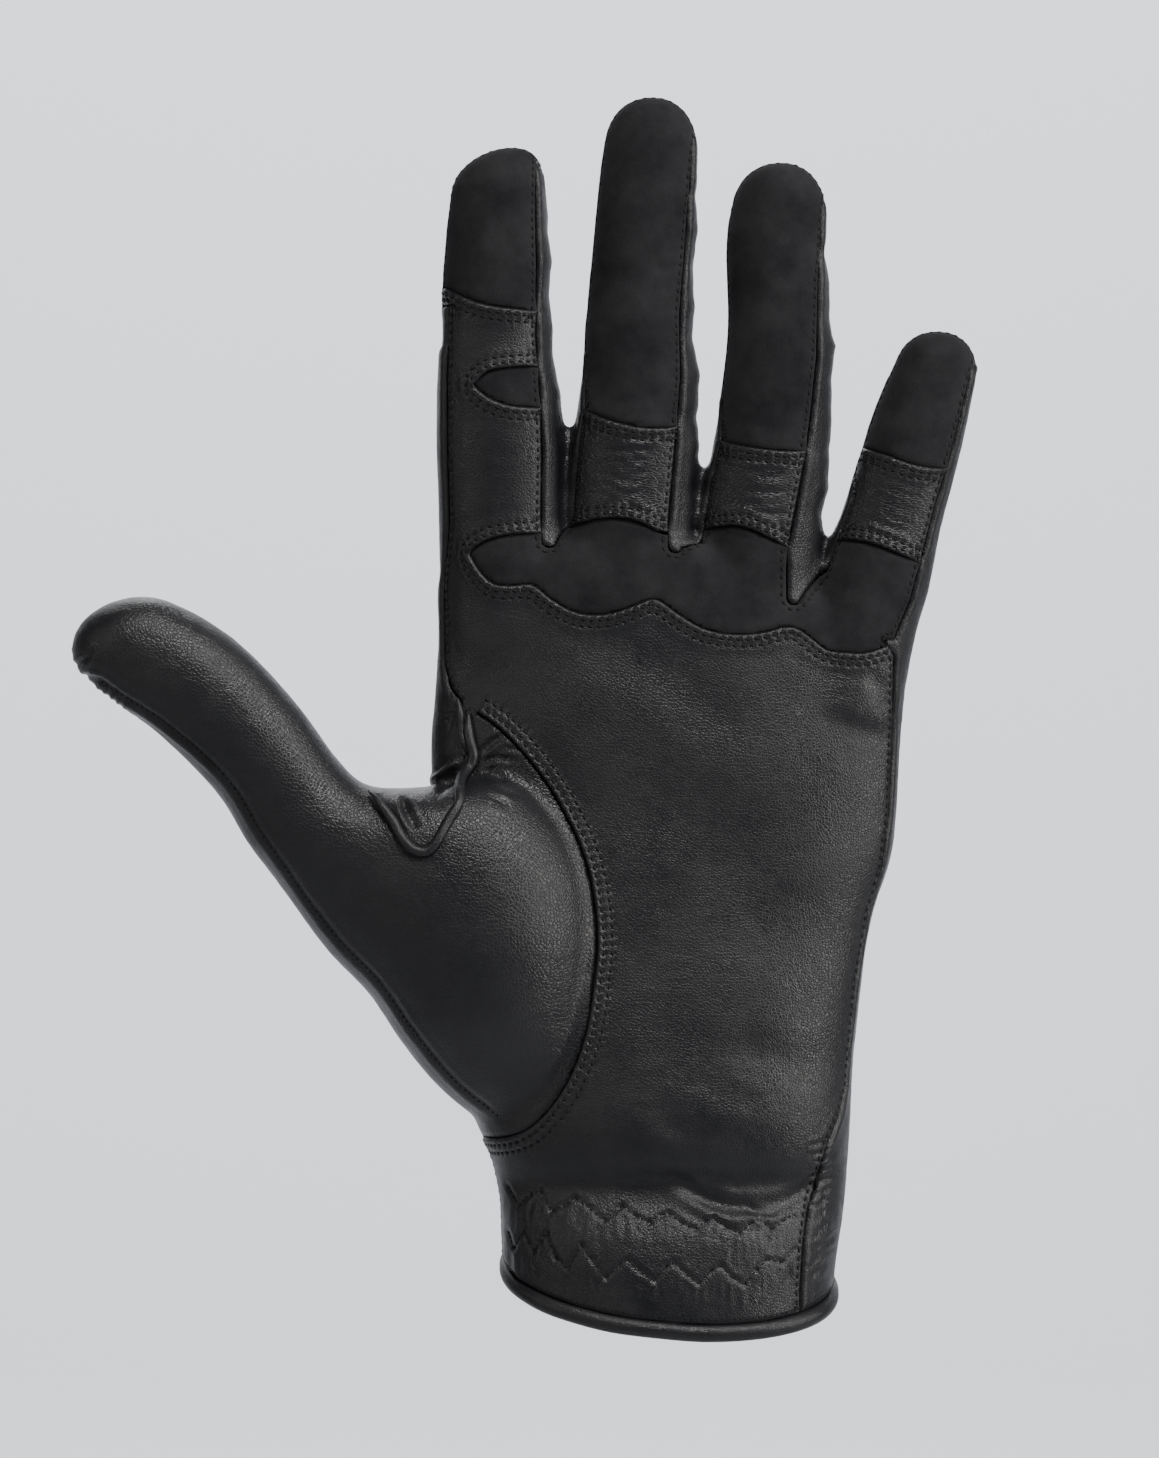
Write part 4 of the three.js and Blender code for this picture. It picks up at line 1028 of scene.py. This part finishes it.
marks = {}
for name, bm in sheets.items():
    refine(bm, 1.0 if name == "back_panel" else 1.5, .3)
    refine(bm, 3.4, .3, lambda v: edgeKind(name, neighbour(v.co, name), v.co) == "over")
    bm.normal_update()
    rim = [v for v in bm.verts if v.is_boundary]
    tree = KDTree(len(rim))
    kinds = []
    fades = []
    others = {}
    for i, v in enumerate(rim):
        tree.insert(v.co, i)
        others[v] = neighbour(v.co, name)
        kinds.append(edgeKind(name, others[v], v.co))
        fades.append(crowd(v.co))
    tree.balance()
    links = {v: [e.other_vert(v) for e in v.link_edges if e.is_boundary] for v in rim}
    left = set(rim)
    marks[name] = []
    for here in rim:
        if here not in left:
            continue
        left.discard(here)
        loop = [here]
        while True:
            ahead = [v for v in links[here] if v in left]
            if not ahead:
                break
            here = ahead[0]
            left.discard(here)
            loop.append(here)
        for line in rimRows(name, bm, loop):
            marks[name] += spaced(line, 1.5)
    holes = KDTree(len(marks[name]))
    for i, (spot, ahead, out) in enumerate(marks[name]):
        holes.insert(spot, i)
    holes.balance()
    sink = -0.1 if name in suedeNames else 0.0
    moves = []
    for v in bm.verts:
        near = tree.find_range(v.co, 3.7 * mm)
        move = sink
        if near:
            best = min(near, key=lambda hit: hit[2])
            move += edgeMove(kinds[best[1]], best[2] / mm) * fades[best[1]]
            if kinds[best[1]] == "over":  # stitches pull the lapped edge into small waves
                move += 0.05 * noise.noise(v.co / mm * 0.9) * max(0.0, 1 - best[2] / mm / 3)
            if marks[name]:
                hole = holes.find(v.co)[2] / mm
                move -= 0.27 * math.exp(-(hole / 0.47) ** 2)
        moves.append(v.normal * (move * mm))
    for v, move in zip(bm.verts, moves):
        v.co += move
    bm.normal_update()
say("edges rolled")

skinTrees = {name: BVHTree.FromBMesh(bm) for name, bm in sheets.items()}


def addPiece(mesh, name, look, node=None):
    mesh.materials.clear()
    mesh.materials.append(looks[look])
    mesh.polygons.foreach_set("material_index", [0] * len(mesh.polygons))
    mesh.polygons.foreach_set("use_smooth", [True] * len(mesh.polygons))
    piece = bpy.data.objects.new(name, mesh)
    scene.collection.objects.link(piece)
    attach(piece, "root")
    if node:
        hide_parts(node)
    say(f"{name} {sum(len(face.vertices) - 2 for face in mesh.polygons)} triangles")


for name, bm in sheets.items():
    look, slot = panels[name]
    mesh = finished(meshFrom(bm, name), "SOLIDIFY", thickness=wall, offset=-1, use_rim=True)
    addPiece(mesh, f"sewn_{name}", look, name)
say("panels thickened")


# corded seam and rolled hem

def cordAlong(path, outs, radii, sides, name, node, closed=False):
    # a round cord swept along a path: a circle extruded ring by ring
    bm = bmesh.new()
    count = len(path)
    frames = []
    for i, here in enumerate(path):
        before = path[i - 1] if i or closed else here
        after = path[(i + 1) % count] if i < count - 1 or closed else here
        ahead = (after - before).normalized()
        side = ahead.cross(outs[i]).normalized()
        frames.append((here, side, side.cross(ahead).normalized()))

    def place(step, turn):
        here, side, out = frames[step % count]
        wide, high = radii(step % count)
        return (here + side * (wide * mm * math.cos(turn)) + out * (high * mm * math.sin(turn))) / mm

    steps = count + 1 if closed else count
    tube(bm, sides, steps, place)
    if closed:
        bmesh.ops.delete(bm, geom=[f for f in bm.faces if len(f.verts) > 4], context="FACES_ONLY")
        bmesh.ops.remove_doubles(bm, verts=bm.verts, dist=1e-7)
    bmesh.ops.recalc_face_normals(bm, faces=bm.faces)
    addPiece(meshFrom(bm, name), name, "rolled", node)


def onFront(x, z, names=None):
    # the nearest skin met from the palm side
    best = None
    for name, tree in skinTrees.items():
        if names and name not in names:
            continue
        hit, out, i, gap = tree.ray_cast(Vector((x * mm, -0.2, z * mm)), Vector((0, 1, 0)))
        if hit and out.y < 0.2 and (best is None or hit.y < best[0].y):
            best = (hit, out)
    return best


def frontLine(points, names=None):
    # a line laid on the front of the skins, with its outward directions
    return [hit for hit in (onFront(x, z, names) for x, z in smoothLine(points, .5)) if hit]


cords = {  # line, radius and the node that it stands for
    "web_cord": (picked((372, 790), (383, 801), (394, 815), (404, 835), (414, 847), (427, 851),
                        (437, 843), (446, 826), (455, 811), (462, 799), (460, 785), (464, 772),
                        (473, 763), (474, 754), (469, 736), (469, 714)), .88, "thumb_web_piping"),
    "web_cord_end": (picked((471, 757), (463, 740), (461, 718), (458, 698)), .72, None),
}
for name, (points, radius, node) in cords.items():
    hits = frontLine(points)
    depths = [min(hit[0].y for hit in hits[max(0, i - 3):i + 4]) for i in range(len(hits))]
    sunk = [Vector((hit[0].x, deep - .4 * radius * mm, hit[0].z)) for hit, deep in zip(hits, depths)]
    path = soften(sunk, 6)
    outs = soften([Vector((0, -1, 0)) + hit[1] * .3 for hit in hits], 10)
    ends = [min(1, .3 + i / 8, .3 + (len(path) - 1 - i) / 8) for i in range(len(path))]
    cordAlong(path, outs, lambda i: (radius * ends[i], radius * .95 * ends[i]), 14, name, node)
say("corded seam")

hem = []
for i in range(180):
    angle = 2 * math.pi * i / 180
    x = bend(math.cos(angle), 2.5)
    x *= (28.2 if x > 0 else 28.6) - .6
    y = bend(math.sin(angle), 2.5) * (20.5 - .6)
    hem.append(Vector((x, y, hemHeight(x, y) - 1.55 + .12 * noise.noise(Vector((x, y, 0)) * .12))) * mm)
for turn in range(2):
    hem = [(hem[i - 1] + 2 * here + hem[(i + 1) % len(hem)]) / 4 for i, here in enumerate(hem)]
upward = [Vector((0, 0, 1))] * len(hem)
cordAlong(hem, upward, lambda i: (1.42, 1.5), 18, "hem_binding", "wrist_binding", True)
say("rolled hem")


# stitches

def threads(places, name, length=1.05, radius=.27):
    # every stitch is a low capsule laid on the leather; they are gathered in small lots
    whole = bmesh.new()
    for first in range(0, len(places), 40):
        lot = bmesh.new()
        for spot, ahead, out in places[first:first + 40]:
            side = ahead.cross(out).normalized()
            turn = Matrix((ahead, side, side.cross(ahead))).transposed().to_4x4()
            tilt = Matrix.Rotation(math.radians(rand.uniform(-8, 8)), 4, "Z")
            size = Matrix.Diagonal((length / 2 * mm, radius * mm, radius * mm, 1))
            shape = Matrix.Translation(spot) @ turn @ tilt @ size @ Matrix.Rotation(math.pi / 2, 4, "Y")
            bmesh.ops.create_uvsphere(lot, u_segments=6, v_segments=4, radius=1, matrix=shape)
        mesh = meshFrom(lot, "lot")
        whole.from_mesh(mesh)
        bpy.data.meshes.remove(mesh)
    addPiece(meshFrom(whole, name), name, "thread")
    say(f"{name} {len(places)} stitches")


sewn = []
for name, places in marks.items():
    for spot, ahead, out in places:
        hit, out, k, gap = skinTrees[name].find_nearest(spot)
        sewn.append((hit + out * (.04 * mm), ahead, out))
threads(sewn, "seam_stitches")


wristLines = []
for line in (upperZig, lowerZig):
    for a, b in zip(line, line[1:]):
        wristLines.append(frontLine([a, b], {"palm_panel", "thumb_panel", "back_panel"}))
hemRow = []
for i in range(181):
    angle = math.pi + math.pi * i / 180
    x = bend(math.cos(angle), 2.5) * 28.3
    y = bend(math.sin(angle), 2.5) * 20.5
    spot = Vector((x, y, hemHeight(x, y) + 1.0)) * mm
    for part in ("palm_panel", "back_panel"):
        hit, out, k, gap = skinTrees[part].find_nearest(spot)
        if hit and gap < 1.6 * mm:
            hemRow.append((hit, out))
            break
wristLines.append(hemRow)
wristLines.append(frontLine(thumbSeam[:-1], {"thumb_panel"}))
wristMarks = [mark for line in wristLines if len(line) > 2 for mark in spaced(line, 1.05)]
threads(wristMarks, "wrist_stitches", .6, .15)


# studio

bm = bmesh.new()
profile = [(-3, -.6), (1.9, -.6), (2.2, -.57), (2.42, -.45), (2.5, -.2), (2.5, 2.4)]
points = [bm.verts.new((-4, y, z)) for y, z in profile]
edges = [bm.edges.new(pair) for pair in zip(points, points[1:])]
grown = bmesh.ops.extrude_edge_only(bm, edges=edges)["geom"]
bmesh.ops.translate(bm, verts=[g for g in grown if isinstance(g, bmesh.types.BMVert)], vec=(8, 0, 0))
mesh = meshFrom(bm, "sweep")
mesh.polygons.foreach_set("use_smooth", [True] * len(mesh.polygons))
backdrop = bpy.data.materials.new("backdrop")
backdrop.use_nodes = True
backdrop.node_tree.nodes["Principled BSDF"].inputs["Base Color"].default_value = (.64, .655, .69, 1)
backdrop.node_tree.nodes["Principled BSDF"].inputs["Roughness"].default_value = 0.9
mesh.materials.append(backdrop)
sweep = bpy.data.objects.new("sweep", mesh)
scene.collection.objects.link(sweep)
sweep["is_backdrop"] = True

world = bpy.data.worlds.new("studio")
world.use_nodes = True
world.node_tree.nodes["Background"].inputs["Color"].default_value = (.8, .82, .86, 1)
rays = world.node_tree.nodes.new("ShaderNodeLightPath")
strength = remap(world.node_tree, rays.outputs["Is Camera Ray"], 0, 1, .035, .5)  # pale to the camera
world.node_tree.links.new(strength, world.node_tree.nodes["Background"].inputs["Strength"])
scene.world = world


lights = {  # place, aim and size in metres, power, colour, spread in degrees
    "keyLight": ((.4, -1.0, 1.5), (0, 0, .1), (.6, .6), 11.5, (1, .985, .96), 120),
    "rightLight": ((1.7, -.75, .6), (0, 0, .1), (.4, 1.4), 13, (1, .97, .93), 120),
    "sideLight": ((-1.4, -.9, .5), (0, 0, .1), (.6, 1.0), 2.5, (1, .94, .88), 120),
    "backLight": ((-.2, 1.9, 1.6), (0, 0, .1), (1.4, .5), 5, (1, 1, 1), 110),
    "wallLight": ((0, .9, 2.2), (0, 2.5, .2), (3, .6), 72, (1, 1, 1), 100),
}
for name, (spot, aim, size, power, color, spread) in lights.items():
    light = bpy.data.lights.new(name, "AREA")
    light.shape = "RECTANGLE"
    light.size, light.size_y = size
    light.energy = power
    light.color = color
    light.spread = math.radians(spread)
    lamp = bpy.data.objects.new(name, light)
    lamp.location = spot
    lamp.rotation_euler = (Vector(aim) - Vector(spot)).to_track_quat("-Z", "Y").to_euler()
    scene.collection.objects.link(lamp)

camera = bpy.data.objects.new("camera", bpy.data.cameras.new("camera"))
camera.location = (-.0156, -1.5, .0953)
camera.rotation_euler = (math.pi / 2, 0, 0)
camera.data.sensor_fit = "AUTO"
camera.data.sensor_width = 36
camera.data.lens = 215.3
scene.collection.objects.link(camera)
scene.camera = camera

low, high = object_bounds()
say("done")
